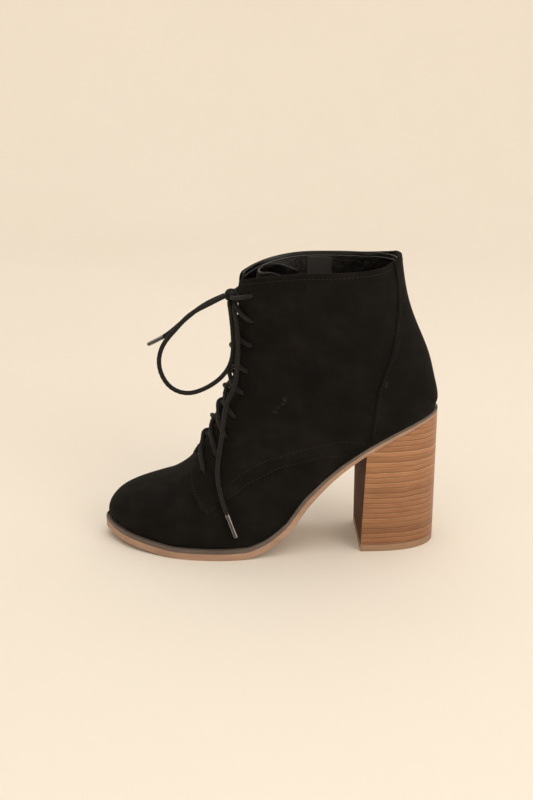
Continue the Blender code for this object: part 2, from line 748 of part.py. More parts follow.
def tube_to_mesh(part, collection):
    """The same tube as a welded mesh, so that it can be joined to others."""
    bpy.context.view_layer.update()
    graph = bpy.context.evaluated_depsgraph_get()
    mesh = bpy.data.meshes.new_from_object(part.evaluated_get(graph))
    name = part.name
    work = bmesh.new()
    work.from_mesh(mesh)
    bmesh.ops.remove_doubles(work, verts=work.verts, dist=0.01 * MM)
    bmesh.ops.recalc_face_normals(work, faces=work.faces)
    work.to_mesh(mesh)
    work.free()
    bpy.data.objects.remove(part, do_unlink=True)
    solid_tube = bpy.data.objects.new(name, mesh)
    collection.objects.link(solid_tube)
    return solid_tube


# The bow's free ways from the knot, in the last's own millimetres
LOOP_LATERAL = (
    (29.6, 3.8, 178.9), (33.6, 8.2, 178.0), (40.2, 12.0, 175.4), (52.2, 15.0, 169.3), (63.1, 17.0, 158.7),
    (71.2, 18.0, 148.5), (74.4, 18.0, 137.5), (72.3, 17.0, 125.8), (66.2, 16.0, 117.3), (56.1, 15.0, 113.4),
    (43.5, 14.5, 116.7), (34.0, 14.6, 123.6), (28.2, 14.6, 133.0), (26.2, 14.2, 145.0), (26.4, 12.8, 157.0),
    (28.0, 8.0, 167.8), (28.3, 2.9, 174.3),
)
LOOP_MEDIAL = (
    (28.0, -5.0, 178.0), (27.4, -10.5, 174.8), (25.2, -15.4, 168.0), (23.4, -18.0, 159.0), (22.8, -18.8, 149.0),
    (23.0, -20.0, 138.0), (21.4, -23.8, 126.0), (16.0, -28.8, 117.0), (7.0, -32.6, 112.0), (-3.0, -34.4, 113.0),
    (-9.0, -34.6, 120.0), (-9.6, -34.2, 130.0), (-6.0, -34.0, 142.0), (1.0, -33.4, 154.0), (9.0, -31.6, 165.0),
    (16.6, -26.4, 174.0), (22.4, -18.4, 180.4), (25.6, -11.0, 181.8), (26.2, -6.0, 180.6),
)
END_SHORT = (
    (30.6, -1.0, 178.2), (34.6, 1.4, 177.0), (41.5, 3.6, 174.2), (50.1, 5.0, 169.5), (60.4, 6.0, 162.7),
    (69.0, 6.4, 156.4), (72.6, 6.6, 153.7),
)
END_LONG = (
    (24.9, 7.6, 172.8), (24.4, 12.4, 167.0), (23.4, 16.4, 158.0), (22.8, 18.0, 144.6), (23.4, 20.0, 131.2),
    (25.0, 22.2, 117.9), (28.6, 22.4, 109.6), (30.2, 24.4, 100.4), (31.6, 28.2, 89.3), (33.0, 31.6, 79.6),
    (34.8, 34.0, 67.4), (34.4, 38.6, 55.8), (32.4, 42.0, 47.0), (30.0, 44.0, 39.6), (28.6, 44.6, 36.0),
)
AGLET_SHORT_TIP = (81.9, 7.0, 146.1)
AGLET_LONG_TIP = (22.7, 45.2, 19.6)
CORD_SPACING = 8.0


def build_cords(collection, finishes):
    """Bow loops, lace ends and their aglets; each aglet starts just past its lace end and runs straight on."""
    lace = finishes["lace"]
    ways = {"lace_loop_lateral": LOOP_LATERAL, "lace_loop_medial": LOOP_MEDIAL,
            "lace_end_short": END_SHORT, "lace_end_long": END_LONG}
    for name, route in ways.items():
        tube(name, smooth_route(route, CORD_SPACING), LACE_RADIUS, collection, lace)
    for name, start, tip in (("aglet_short", END_SHORT[-1], AGLET_SHORT_TIP),
                             ("aglet_long", END_LONG[-1], AGLET_LONG_TIP)):
        start, tip = np.array(start), np.array(tip)
        run = (tip - start) / np.linalg.norm(tip - start)
        tube(name, np.array((start + run * 2 * FIT_GAP, tip)), AGLET_RADIUS, collection, finishes["aglet"])


def build_knot(collection, finishes):
    """The bow's knot as a plain round body."""
    work = bmesh.new()
    bmesh.ops.create_uvsphere(work, u_segments=12, v_segments=8, radius=1.0)
    bmesh.ops.scale(work, vec=KNOT_HALF, verts=work.verts)
    knot = mesh_object("lace_knot", work, KNOT_AT, collection, finishes["lace"])
    knot.data.shade_smooth()


EYE_SECTION = table_column(EYELET_ROWS, EYELET_COLUMNS, "section")
EYE_WIDTH = table_column(EYELET_ROWS, EYELET_COLUMNS, "width")
LACE_LIFT = OVERLAY_STEP + LACE_CLEARANCE + LACE_RADIUS
CROSSING_POINTS = 5


def eye_turn(pair, side):
    """Three places round an eyelet where the lace turns back: below it, beyond it and above it."""
    section, width = EYE_SECTION[pair], side * EYE_WIDTH[pair]
    small = 1e-3
    run = np.linalg.norm(on_wall(section + small, width, 0) - on_wall(section - small, width, 0)) / (2 * small)
    step = EYE_TURN / run
    return [(section - step, width), (section, width + side * EYE_TURN), (section + step, width)]


def stretch(leave, arrive):
    """Places between two others, and the second one."""
    share = np.linspace(0, 1, CROSSING_POINTS + 2)[1:, None]
    return list(np.array(leave) + (np.array(arrive) - np.array(leave)) * share)


def zigzag(first_side):
    """Section and width of one lace half's way: eyelet to eyelet across the throat, then up to the knot."""
    way = [(EYE_SECTION[0], first_side * EYE_WIDTH[0])]
    for pair in range(1, len(EYELET_ROWS) - 1):
        turn = eye_turn(pair, first_side * (-1) ** pair)
        way.extend(stretch(way[-1], turn[0]))
        way.extend(turn[1:])
    side = np.sign(way[-1][1])
    way.extend(stretch(way[-1], (KNOT_SECTION, side * KNOT_STRAND_WIDTH)))
    return way


def top_strand(side):
    """From a top eyelet to the other strand beside the knot."""
    start = (EYE_SECTION[-1], side * EYE_WIDTH[-1])
    stop = (KNOT_SECTION - 0.01, side * (KNOT_STRAND_WIDTH + LACE_RADIUS))
    return [start] + stretch(start, stop)


def build_crossings(collection, cutters, finishes):
    """The laced part: two zigzags that cross on the ridge and the strands of the top eyelets, joined."""
    ways = {"lace_crossings": zigzag(1), "zigzag_medial": zigzag(-1),
            "top_strand_lateral": top_strand(1), "top_strand_medial": top_strand(-1)}
    joined = None
    for name, way in ways.items():
        points = np.array([on_wall(section, width, LACE_LIFT) for section, width in way])
        holder = cutters if joined else collection
        strand = tube_to_mesh(tube(name, points, LACE_RADIUS, holder, finishes["lace"], sides_level=1), holder)
        if joined:
            combine(joined, strand, "UNION")
        else:
            joined = strand


def new_collection(name):
    collection = bpy.data.collections.new(name)
    bpy.context.scene.collection.children.link(collection)
    return collection


def main():
    clear_scene()
    collection = new_collection("lace_up_boot")
    cutters = new_collection("cutters")
    finishes = {
        "outsole": paint("tan_resin_sole", (0.36, 0.20, 0.13), 0.55),
        "welt": paint("taupe_welt", (0.14, 0.10, 0.08), 0.6),
        "insole": paint("black_sock_lining", (0.012, 0.011, 0.01), 0.5),
        "heel": paint("stacked_leather", (0.43, 0.19, 0.07), 0.5),
        "top_lift": paint("rubber_top_lift", (0.25, 0.14, 0.08), 0.6),
        "upper": paint("black_faux_suede", (0.012, 0.010, 0.008), 0.95),
        "tongue": paint("black_faux_suede_tongue", (0.012, 0.010, 0.008), 0.95),
        "zip": paint("black_zip_tape", (0.02, 0.02, 0.02), 0.7),
        "zip_metal": paint("nickel_zip_metal", (0.6, 0.59, 0.57), 0.25, 1.0),
        "lace": paint("black_round_lace", (0.023, 0.02, 0.018), 0.85),
        "aglet": paint("clear_grey_aglet", (0.12, 0.12, 0.12), 0.2),
    }
    build_sole(collection, finishes)
    build_heel(collection, finishes)
    build_upper(collection, finishes)
    build_tongue(collection, finishes)
    build_zip(collection, finishes)
    build_slider(collection, cutters, finishes)
    build_crossings(collection, cutters, finishes)
    build_knot(collection, finishes)
    build_cords(collection, finishes)


main()
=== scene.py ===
"""Looks of the left lace-up ankle boot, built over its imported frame.

Shapes are worked out in the last's own millimetres, as in the part's source; piece() puts them into metres.
"""
import math

import bpy
import numpy as np
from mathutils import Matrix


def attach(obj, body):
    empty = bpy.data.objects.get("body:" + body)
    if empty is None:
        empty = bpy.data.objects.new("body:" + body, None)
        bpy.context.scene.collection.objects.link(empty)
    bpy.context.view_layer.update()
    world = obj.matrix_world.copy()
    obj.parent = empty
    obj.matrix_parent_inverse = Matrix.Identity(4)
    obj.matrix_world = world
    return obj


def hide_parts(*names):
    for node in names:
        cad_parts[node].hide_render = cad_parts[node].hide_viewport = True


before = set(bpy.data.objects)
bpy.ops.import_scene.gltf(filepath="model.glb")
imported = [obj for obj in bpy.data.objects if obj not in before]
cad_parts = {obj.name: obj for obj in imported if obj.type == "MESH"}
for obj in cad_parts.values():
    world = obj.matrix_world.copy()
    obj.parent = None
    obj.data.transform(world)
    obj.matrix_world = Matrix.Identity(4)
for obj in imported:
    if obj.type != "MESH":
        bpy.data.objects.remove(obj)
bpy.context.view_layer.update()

# Layers, as in the part's source, in millimetres
MM = 0.001
FIT_GAP = 0.3
SEAT_GAP = 0.6
OUTSOLE_FOREFOOT = 5.0
OUTSOLE_HEEL = 2.3
WELT_FOREFOOT = 2.6
WELT_HEEL = 1.5
TAPER_FROM_X = 25.0
TAPER_TO_X = -75.0
INSOLE_THICK = 2.5
INSOLE_CLEARANCE = 2.2
WALL = 2.0
OVERLAY_STEP = 1.1
HEEL_BREAST_X = -65.0
TOP_LIFT_THICK = 5.0
HEEL_INSET = 0.3
TONGUE_THICK = 1.8
TONGUE_CLEARANCE = 1.0
TONGUE_LEAN = 9.0
TONGUE_HALF_BOTTOM = 0.16
TONGUE_HALF_TOP = 0.30
THROAT_HALF = 10.5
COLLAR_HALF = 9.0
LACE_RADIUS = 1.5
ZIP_X = -37.0
ZIP_TOP_Z = 188.5
ZIP_BOTTOM_Z = 92.0

# Sole at the upper's edge, with the height of its underside and the ledge outside the upper
SOLE_COLUMNS = ("x", "lateral", "medial", "ground", "ledge")
SOLE_ROWS = (
    (115.3, -6.0, -6.0, 6.2, 2.7),
    (108.0, 8.5, -19.5, 4.3, 2.7),
    (98.0, 19.5, -27.5, 3.1, 2.7),
    (84.0, 29.0, -34.5, 1.7, 2.7),
    (64.0, 37.5, -39.8, 0.0, 2.6),
    (48.0, 40.6, -41.2, 0.0, 2.6),
    (30.0, 41.2, -38.5, 0.0, 2.5),
    (16.0, 39.6, -34.2, 0.4, 2.4),
    (4.0, 37.2, -30.2, 4.0, 2.2),
    (-12.0, 33.6, -26.0, 15.0, 1.9),
    (-30.0, 30.0, -23.6, 38.0, 1.6),
    (-52.0, 27.9, -24.0, 60.0, 1.2),
    (-78.0, 27.3, -26.2, 78.5, 0.8),
    (-100.0, 22.9, -22.6, 89.5, 0.6),
    (-112.0, 14.6, -14.5, 93.8, 0.6),
    (-118.0, 0.0, 0.0, 95.5, 0.6),
)

# Back centre line above the heel seat
BACK_COLUMNS = ("z", "x")
BACK_ROWS = (
    (100.4, -118.0),
    (108.0, -118.2),
    (119.0, -115.9),
    (138.0, -110.8),
    (155.5, -103.4),
    (171.0, -97.2),
    (185.0, -93.4),
    (207.0, -89.8),
)

# Sections of the last from the toe tip over the instep to the collar, each from the ridge to its end: an x on
# the sole's edge, or 1 to 2 from the heel seat up the back line
LAST_COLUMNS = ("ridge_x", "ridge_z", "ridge_y", "end", "lateral", "medial", "wide_at", "top", "crown")
LAST_ROWS = (
    (115.3, 14.4, -6.0, 115.3, -6.0, -6.0, 0.60, 2.0, 0.0),
    (115.6, 21.5, -6.0, 113.4, 2.0, -13.6, 0.60, 2.0, 0.0),
    (112.0, 29.0, -6.0, 108.6, 9.5, -20.6, 0.62, 2.1, 0.0),
    (102.5, 37.0, -5.5, 99.5, 20.0, -28.3, 0.66, 2.15, 0.0),
    (85.0, 43.8, -5.0, 83.0, 31.2, -36.8, 0.70, 2.1, 0.0),
    (66.0, 50.6, -4.0, 61.0, 39.8, -42.0, 0.72, 2.0, 0.0),
    (53.0, 62.5, -3.0, 38.0, 42.4, -41.2, 0.72, 1.9, 0.0),
    (43.0, 80.0, -2.0, 14.0, 40.2, -36.4, 0.70, 1.9, 0.0),
    (34.5, 98.0, -1.0, -12.0, 36.0, -31.0, 0.66, 1.9, 0.0),
    (28.5, 114.0, 0.0, -38.0, 33.0, -30.0, 0.60, 1.95, 0.0),
    (25.3, 129.0, 0.0, -68.0, 31.6, -30.6, 0.56, 2.0, 0.0),
    (23.8, 143.0, 0.0, -98.0, 31.0, -30.6, 0.54, 2.0, 0.0),
    (23.0, 154.0, 0.0, -118.0, 30.6, -30.4, 0.52, 2.0, 0.0),
    (22.4, 163.0, 0.0, 1.24, 30.8, -30.6, 0.50, 2.05, 0.0),
    (21.8, 173.0, 0.0, 1.50, 31.8, -31.6, 0.49, 2.1, 0.8),
    (21.2, 182.0, 0.0, 1.75, 33.8, -33.6, 0.48, 2.1, 2.6),
    (20.5, 191.0, 0.0, 2.0, 36.0, -36.0, 0.48, 2.1, 4.8),
)
QUARTER_ON_SOLE_X = (-40.0, -56.0)
PANEL_ON_SOLE_X = (-66.0, -80.0)

# Pairs of punched eyelets from the vamp to the collar: section, and distance from the ridge to each side
EYELET_COLUMNS = ("section", "width")
EYELET_ROWS = (
    (0.404, 28.0),
    (0.449, 26.0),
    (0.490, 23.0),
    (0.533, 21.0),
    (0.591, 19.0),
    (0.648, 17.5),
    (0.736, 16.5),
    (0.839, 18.0),
    (0.940, 21.0),
)

# Lower edge of a quarter, and front edge of the back panel, as shares of the sections
EDGE_COLUMNS = ("section", "share")
QUARTER_EDGE_ROWS = (
    (0.340, 0.400),
    (0.383, 0.420),
    (0.404, 0.414),
    (0.427, 0.413),
    (0.464, 0.420),
    (0.497, 0.447),
    (0.519, 0.490),
    (0.543, 0.571),
    (0.565, 0.655),
    (0.584, 0.730),
    (0.600, 0.852),
    (0.612, 1.000),
)
PANEL_EDGE_ROWS = (
    (0.630, 1.000),
    (0.6404, 0.846),
    (0.656, 0.772),
    (0.676, 0.712),
    (0.7221, 0.6285),
    (0.750, 0.6155),
    (0.7690, 0.6265),
    (0.7945, 0.650),
    (0.8505, 0.716),
    (0.8891, 0.776),
    (0.9159, 0.818),
    (0.9422, 0.850),
    (0.965, 0.862),
    (1.000, 0.853),
)

# How far the collar's edge lies under the last's end section, from the ridge (share 0) to the back (1)
COLLAR_COLUMNS = ("share", "lateral", "medial")
COLLAR_ROWS = (
    (0.00, 0.0, 0.0),
    (0.25, 0.0008, 0.0008),
    (0.43, 0.0036, 0.0030),
    (0.57, 0.0076, 0.0060),
    (0.70, 0.0092, 0.0065),
    (0.76, 0.0090, 0.0054),
    (0.85, 0.0040, 0.0026),
    (0.93, 0.0008, 0.0007),
    (1.00, 0.0, 0.0),
)

# Rounded front end of a facing: its section, from the throat edge (0) across to the lower edge (1)
FACING_FRONT_COLUMNS = ("across", "section")
FACING_FRONT_ROWS = (
    (0.00, 0.386),
    (0.10, 0.3725),
    (0.29, 0.3612),
    (0.557, 0.3585),
    (0.726, 0.3650),
    (0.90, 0.3755),
    (1.00, 0.3835),
)


def table_column(rows, columns, name):
    """One named column of a table as an array."""
    return np.array([row[columns.index(name)] for row in rows], dtype=float)


def natural_spline(knots, values, at):
    """Natural cubic spline: second slopes from a tridiagonal system, then a cubic on each span."""
    knots, values, at = np.asarray(knots, float), np.asarray(values, float), np.asarray(at, float)
    step = np.diff(knots)
    rise = np.diff(values) / step
    count = len(knots)
    matrix, right = np.eye(count), np.zeros(count)
    for i in range(1, count - 1):
        matrix[i, i - 1:i + 2] = step[i - 1], 2 * (step[i - 1] + step[i]), step[i]
        right[i] = 6 * (rise[i] - rise[i - 1])
    bend = np.linalg.solve(matrix, right)
    i = np.clip(np.searchsorted(knots, at) - 1, 0, count - 2)
    u = at - knots[i]
    slope = rise[i] - step[i] * (2 * bend[i] + bend[i + 1]) / 6
    return values[i] + u * (slope + u * (bend[i] / 2 + u * (bend[i + 1] - bend[i]) / (6 * step[i])))


def steady_spline(knots, values, at):
    """Cubic spline with harmonic mean slopes, which never overshoots its knots."""
    knots, values, at = np.asarray(knots, float), np.asarray(values, float), np.asarray(at, float)
    step = np.diff(knots)
    rise = np.diff(values) / step
    slope = np.zeros(len(knots))
    same_way = rise[:-1] * rise[1:] > 0
    mean = 2 * rise[:-1] * rise[1:] / np.where(same_way, rise[:-1] + rise[1:], 1)
    slope[1:-1] = np.where(same_way, mean, 0)
    slope[0], slope[-1] = rise[0], rise[-1]
    i = np.clip(np.searchsorted(knots, at) - 1, 0, len(knots) - 2)
    u = (at - knots[i]) / step[i]
    return (values[i] * (1 + 2 * u) * (1 - u) ** 2 + values[i + 1] * u * u * (3 - 2 * u)
            + step[i] * (slope[i] * u * (1 - u) ** 2 - slope[i + 1] * u * u * (1 - u)))


def ease(start, stop, at):
    """0 before start, 1 past stop, a cubic between."""
    share = np.clip((np.asarray(at, float) - start) / (stop - start), 0, 1)
    return share * share * (3 - 2 * share)


def unit(vectors):
    return vectors / np.maximum(np.linalg.norm(vectors, axis=-1, keepdims=True), 1e-12)


def run_along(path):
    """Distance along a path at each of its points."""
    return np.concatenate(((0,), np.cumsum(np.linalg.norm(np.diff(path, axis=0), axis=1))))


def side_name(side):
    return "lateral" if side > 0 else "medial"


# The sole and the last, by the same formulas as the part's source
SOLE_X = table_column(SOLE_ROWS, SOLE_COLUMNS, "x")
TOE_X, HEEL_X = SOLE_X[0], SOLE_X[-1]
BACK_Z = table_column(BACK_ROWS, BACK_COLUMNS, "z")
LAST_AT = np.linspace(0, 1, len(LAST_ROWS))
CROWN_PEAK = 6.75
SLOPE_STEP = 1e-4
# Section whose end is the heel seat's back, where the sole's edge turns into the back line
HEEL_BACK_SECTION = 0.75


def station_at(x):
    """Place along the sole, 0 at the toe to 1 at the heel, spaced like a half turn."""
    share = np.clip((TOE_X - np.asarray(x, float)) / (TOE_X - HEEL_X), 0, 1)
    return np.arccos(1 - 2 * share) / math.pi


def station_x(station):
    return TOE_X - (TOE_X - HEEL_X) * (1 - np.cos(math.pi * np.asarray(station, float))) / 2


def sole_value(name, station):
    return natural_spline(station_at(SOLE_X), table_column(SOLE_ROWS, SOLE_COLUMNS, name), station)


def outline(station, side, outset=0.0):
    """Sole outline at the upper's edge on one side (+1 lateral, -1 medial), moved out square to itself."""
    name = side_name(side)
    station = np.asarray(station, float)
    low, high = np.clip(station - SLOPE_STEP, 0, 1), np.clip(station + SLOPE_STEP, 0, 1)
    dx = np.where((station > 0) & (station < 1), station_x(high) - station_x(low), 0)
    dy = sole_value(name, high) - sole_value(name, low)
    length = np.hypot(dx, dy)
    return (station_x(station) + side * dy / length * outset,
            sole_value(name, station) - side * dx / length * outset)


def ground(x):
    """Height of the sole's underside."""
    x = np.clip(x, HEEL_X, TOE_X)
    return steady_spline(SOLE_X[::-1], table_column(SOLE_ROWS, SOLE_COLUMNS, "ground")[::-1], x)


def taper(x, forefoot, heel):
    """A sole layer's height: forefoot thickness easing to the heel's, measured square to the slope."""
    share = ease(TAPER_TO_X, TAPER_FROM_X, x)
    slope = ground(x + 0.5) - ground(x - 0.5)
    return (heel + (forefoot - heel) * share) * np.sqrt(1 + slope * slope)


def outsole_top(x):
    return ground(x) + taper(x, OUTSOLE_FOREFOOT, OUTSOLE_HEEL)


def welt_top(x):
    return outsole_top(x) + FIT_GAP + taper(x, WELT_FOREFOOT, WELT_HEEL)


def overlay_inset(x):
    """How far the last lies inside the sole's outline where quarter and back panel come down to it."""
    return OVERLAY_STEP * (ease(*QUARTER_ON_SOLE_X, x) + ease(*PANEL_ON_SOLE_X, x))


def end_point(end, side):
    """End of a section: on the sole's edge for 0 to 1, on the back line for 1 to 2."""
    end = np.asarray(end, float)
    on_sole = np.clip(end, 0, 1)
    x, y = outline(on_sole, side, -overlay_inset(station_x(on_sole)))
    heel_z = float(welt_top(HEEL_X) + SEAT_GAP)
    back_z = heel_z + np.clip(end - 1, 0, 1) * (BACK_Z[-1] - heel_z)
    back_x = natural_spline(BACK_Z, table_column(BACK_ROWS, BACK_COLUMNS, "x"), back_z) + 2 * OVERLAY_STEP
    back = end > 1
    return np.where(back, back_x, x), np.where(back, 0, y), np.where(back, back_z, welt_top(x) + SEAT_GAP)


def last_value(name, section):
    values = table_column(LAST_ROWS, LAST_COLUMNS, name)
    if name == "end":
        values = np.where((values > 1) & (values <= 2), values, station_at(values))
    return natural_spline(LAST_AT, values, section)


def last_point(section, share, side):
    """Point of the last: a section runs as two quarter turns, ridge (share 0) to widest (0.5) to end (1)."""
    section, share = np.broadcast_arrays(np.asarray(section, float), np.asarray(share, float))
    end_x, end_y, end_z = end_point(np.clip(last_value("end", section), 0, 2), side)
    ridge_x, ridge_z = last_value("ridge_x", section), last_value("ridge_z", section)
    ridge_y = last_value("ridge_y", section)
    wide_y = last_value(side_name(side), section)
    wide_at = last_value("wide_at", section)
    upper_turn = np.clip(share / 0.5, 0, 1) * math.pi / 2
    lower_turn = np.clip((share - 0.5) / 0.5, 0, 1) * math.pi / 2
    top = 2 / last_value("top", section)
    on_top = share <= 0.5
    down = np.where(on_top, wide_at * (1 - np.cos(upper_turn) ** top),
                    wide_at + (1 - wide_at) * np.sin(lower_turn))
    y = np.where(on_top, ridge_y + (wide_y - ridge_y) * np.sin(upper_turn) ** top,
                 end_y + (wide_y - end_y) * np.cos(lower_turn))
    crown = last_value("crown", section) * CROWN_PEAK * down * (1 - down) ** 2
    z = ridge_z + down * (end_z - ridge_z) + crown
    return np.stack((ridge_x + down * (end_x - ridge_x), y, z), axis=-1)


def share_at_width(section, width, side):
    """Share of a section at which it is the given distance to the side of the ridge."""
    wide = last_value(side_name(side), section) - last_value("ridge_y", section)
    reach = np.clip(width / np.maximum(np.abs(wide), FIT_GAP), 0, 1)
    return np.arcsin(reach ** (last_value("top", section) / 2)) / math.pi


def wall_normal(section, share, side):
    """Outward direction of the last, from its slopes along and across the sections."""
    along = last_point(section + SLOPE_STEP, share, side) - last_point(section - SLOPE_STEP, share, side)
    across = last_point(section, share + SLOPE_STEP, side) - last_point(section, share - SLOPE_STEP, side)
    return unit(side * np.cross(across, along))


# Heights over the welt between which the layers of the wall turn to moving level
LEVEL_HEIGHTS = (9.0, 1.0)
# Directions near the sole's edge are read at this share, up to the section that ends clear of the sole
SOLE_EDGE_SHARE, CLEAR_OF_SOLE = 0.95, 0.85
# From this share and this section on, both halves come to move straight back where they meet
BACK_SHARE, BACK_SECTION = 0.93, 0.72


def raised(section, share, side, lift):
    """Point over the last, moved out by lift; close to the welt it moves level and keeps its height on the
    slope."""
    section, share, lift = np.broadcast_arrays(np.asarray(section, float), np.asarray(share, float), lift)
    base = last_point(section, share, side)
    steady = SOLE_EDGE_SHARE + (1 - SOLE_EDGE_SHARE) * ease(HEEL_BACK_SECTION, CLEAR_OF_SOLE, section)
    normal = wall_normal(section, np.clip(share, 2 * SLOPE_STEP, steady), side)
    straight_back = 1 - ease(BACK_SHARE, 1, share) * ease(BACK_SECTION, HEEL_BACK_SECTION, section)
    level = np.where(share > 0.5, ease(*LEVEL_HEIGHTS, base[..., 2] - welt_top(base[..., 0])), 0)
    normal = normal * np.stack((np.ones_like(level), straight_back, 1 - level), axis=-1)
    points = base + unit(normal) * lift[..., None]
    points[..., 2] += level * (welt_top(points[..., 0]) - welt_top(base[..., 0]))
    return points


def over_ridge(section, width, lift):
    """Point over the last at signed distances from the ridge (+ lateral)."""
    section, width, lift = np.broadcast_arrays(*(np.asarray(v, float) for v in (section, width, lift)))
    both = [raised(section, share_at_width(section, np.abs(width), side), side, lift) for side in (1, -1)]
    return np.where((width >= 0)[..., None], both[0], both[1])


def below_collar(share, side, down=0.0):
    """Section of the collar's edge at a share, or of a line that many millimetres under it."""
    share = np.asarray(share, float)
    step = np.linalg.norm(last_point(1.0, share, side) - last_point(0.999, share, side), axis=-1)
    at, drop = (table_column(COLLAR_ROWS, COLLAR_COLUMNS, name) for name in ("share", side_name(side)))
    return 1 - steady_spline(at, drop, share) - down * 0.001 / step


def wall_place(x, z, side):
    """Section and share of the wall at given x and heights: Newton's steps for whole arrays."""
    x, z = np.broadcast_arrays(np.asarray(x, float), np.asarray(z, float))
    section, share = np.full(x.shape, 0.9), np.full(x.shape, 0.5)
    for _ in range(30):
        here = last_point(section, share, side)[..., [0, 2]]
        a = (last_point(section + SLOPE_STEP, share, side)[..., [0, 2]] - here) / SLOPE_STEP
        b = (last_point(section, share + SLOPE_STEP, side)[..., [0, 2]] - here) / SLOPE_STEP
        miss = np.stack((x, z), axis=-1) - here
        area = a[..., 0] * b[..., 1] - a[..., 1] * b[..., 0]
        section = section + np.clip((miss[..., 0] * b[..., 1] - miss[..., 1] * b[..., 0]) / area, -0.05, 0.05)
        share = share + np.clip((a[..., 0] * miss[..., 1] - a[..., 1] * miss[..., 0]) / area, -0.05, 0.05)
    return section, share


def wall_at(x, z, side, lift):
    return raised(*wall_place(x, z, side), side, np.asarray(lift, float))


EVERY_STATION = np.linspace(0, 1, 400)
MID_X = (outline(0.0, 1, sole_value("ledge", 0.0))[0] + outline(1.0, 1, sole_value("ledge", 1.0))[0]) / 2
MID_Y = (np.max(outline(EVERY_STATION, 1, sole_value("ledge", EVERY_STATION))[1])
         + np.min(outline(EVERY_STATION, -1, sole_value("ledge", EVERY_STATION))[1])) / 2


def to_frame(points):
    """The last's millimetres to metres of the part's frame."""
    return (np.asarray(points, float) - (MID_X, MID_Y, 0)) * MM


# Materials


def colour(code):
    """An sRGB hex value as linear RGBA."""
    values = [int(code[i:i + 2], 16) / 255 for i in (1, 3, 5)]
    return (*(v / 12.92 if v <= 0.04045 else ((v + 0.055) / 1.055) ** 2.4 for v in values), 1.0)


def add(tree, kind, settings=None, values=None, links=None, stops=(), to=None):
    """Adds a node, sets its properties, its sockets' values and a ramp's (place, hex) stops, and links its
    inputs to other nodes' outputs and its first output to another input."""
    made = tree.nodes.new(kind)
    for name, value in (settings or {}).items():
        setattr(made, name, value)
    for name, value in (values or {}).items():
        made.inputs[name].default_value = value
    for name, source in (links or {}).items():
        tree.links.new(source, made.inputs[name])
    if stops:
        band = made.color_ramp.elements
        while len(band) < len(stops):
            band.new(0.5)
        for element, (at, code) in zip(band, stops):
            element.position, element.color = at, colour(code)
    if to is not None:
        tree.links.new(made.outputs[0], to)
    return made


def per_metre(size_mm):
    """Texture scale at which one feature is about that many millimetres wide."""
    return 1 / (size_mm * MM)


def bands_per_metre(size_mm):
    """Scale of a diagonal wave whose bands lie that many millimetres apart on a flat face: one band is a full
    turn of ten times the sum of the coordinates."""
    return 2 * math.pi / (10 * math.sqrt(2)) * per_metre(size_mm)


def plain_material(name, **sockets):
    """A Principled material of one colour."""
    material = bpy.data.materials.new(name)
    material.use_nodes = True
    for key, value in sockets.items():
        material.node_tree.nodes["Principled BSDF"].inputs[key.replace("_", " ")].default_value = value
    return material


def patterned(name, **sockets):
    """A Principled material for a pattern; returns it with its tree, shader and Object coordinates."""
    material = plain_material(name, **sockets)
    tree = material.node_tree
    return material, tree, tree.nodes["Principled BSDF"], add(tree, "ShaderNodeTexCoord").outputs["Object"]


def faux_suede():
    """Black faux suede: a brushed microfibre nap, dull and soft, with lighter strokes where it lies the other
    way."""
    material, tree, shader, place = patterned(
        "black_faux_suede", Roughness=0.92, Specular_IOR_Level=0.1, Sheen_Weight=0.04, Sheen_Roughness=0.5,
        Sheen_Tint=colour("#8c857c"))
    strokes = add(tree, "ShaderNodeTexNoise", links={"Vector": place},
                  values={"Scale": per_metre(18), "Detail": 5.0, "Roughness": 0.62})
    # Real nap is about 0.1 mm; drawn at 0.45 mm so that it shows
    nap = add(tree, "ShaderNodeTexNoise", links={"Vector": place},
              values={"Scale": per_metre(0.45), "Detail": 4.0, "Roughness": 0.7})
    mixed = add(tree, "ShaderNodeMath", {"operation": "MULTIPLY_ADD"}, {1: 0.45},
                {0: nap.outputs["Fac"], 2: strokes.outputs["Fac"]}).outputs[0]
    tone = add(tree, "ShaderNodeValToRGB", links={"Fac": mixed},
               stops=((0.45, "#0d0b09"), (0.72, "#13110f"), (0.98, "#1c1916")))
    worn = add(tree, "ShaderNodeAttribute", {"attribute_name": "wear"})
    rubbed = add(tree, "ShaderNodeMix", {"data_type": "RGBA"}, {"B": colour("#6b6257")},
                 {"Factor": worn.outputs["Fac"], "A": tone.outputs["Color"]})
    tree.links.new(rubbed.outputs["Result"], shader.inputs["Base Color"])
    add(tree, "ShaderNodeBump", values={"Strength": 0.55, "Distance": 0.00035}, links={"Height": mixed},
        to=shader.inputs["Normal"])
    return material


def coated_lining():
    """Black polyurethane-coated lining: smooth film with a fine pebble, glossy."""
    material, tree, shader, place = patterned(
        "black_coated_lining", Base_Color=colour("#0a0909"), Roughness=0.3, Specular_IOR_Level=0.28,
        Coat_Weight=0.14, Coat_Roughness=0.16)
    pebble = add(tree, "ShaderNodeTexVoronoi", {"feature": "SMOOTH_F1"}, {"Scale": per_metre(0.9)},
                 {"Vector": place})
    waves = add(tree, "ShaderNodeTexNoise", values={"Scale": per_metre(9), "Detail": 2.0},
                links={"Vector": place})
    height = add(tree, "ShaderNodeMath", {"operation": "MULTIPLY_ADD"}, {1: 0.25},
                 {0: pebble.outputs["Distance"], 2: waves.outputs["Fac"]})
    add(tree, "ShaderNodeBump", values={"Strength": 0.6, "Distance": 0.0016},
        links={"Height": height.outputs[0]}, to=shader.inputs["Normal"])
    return material


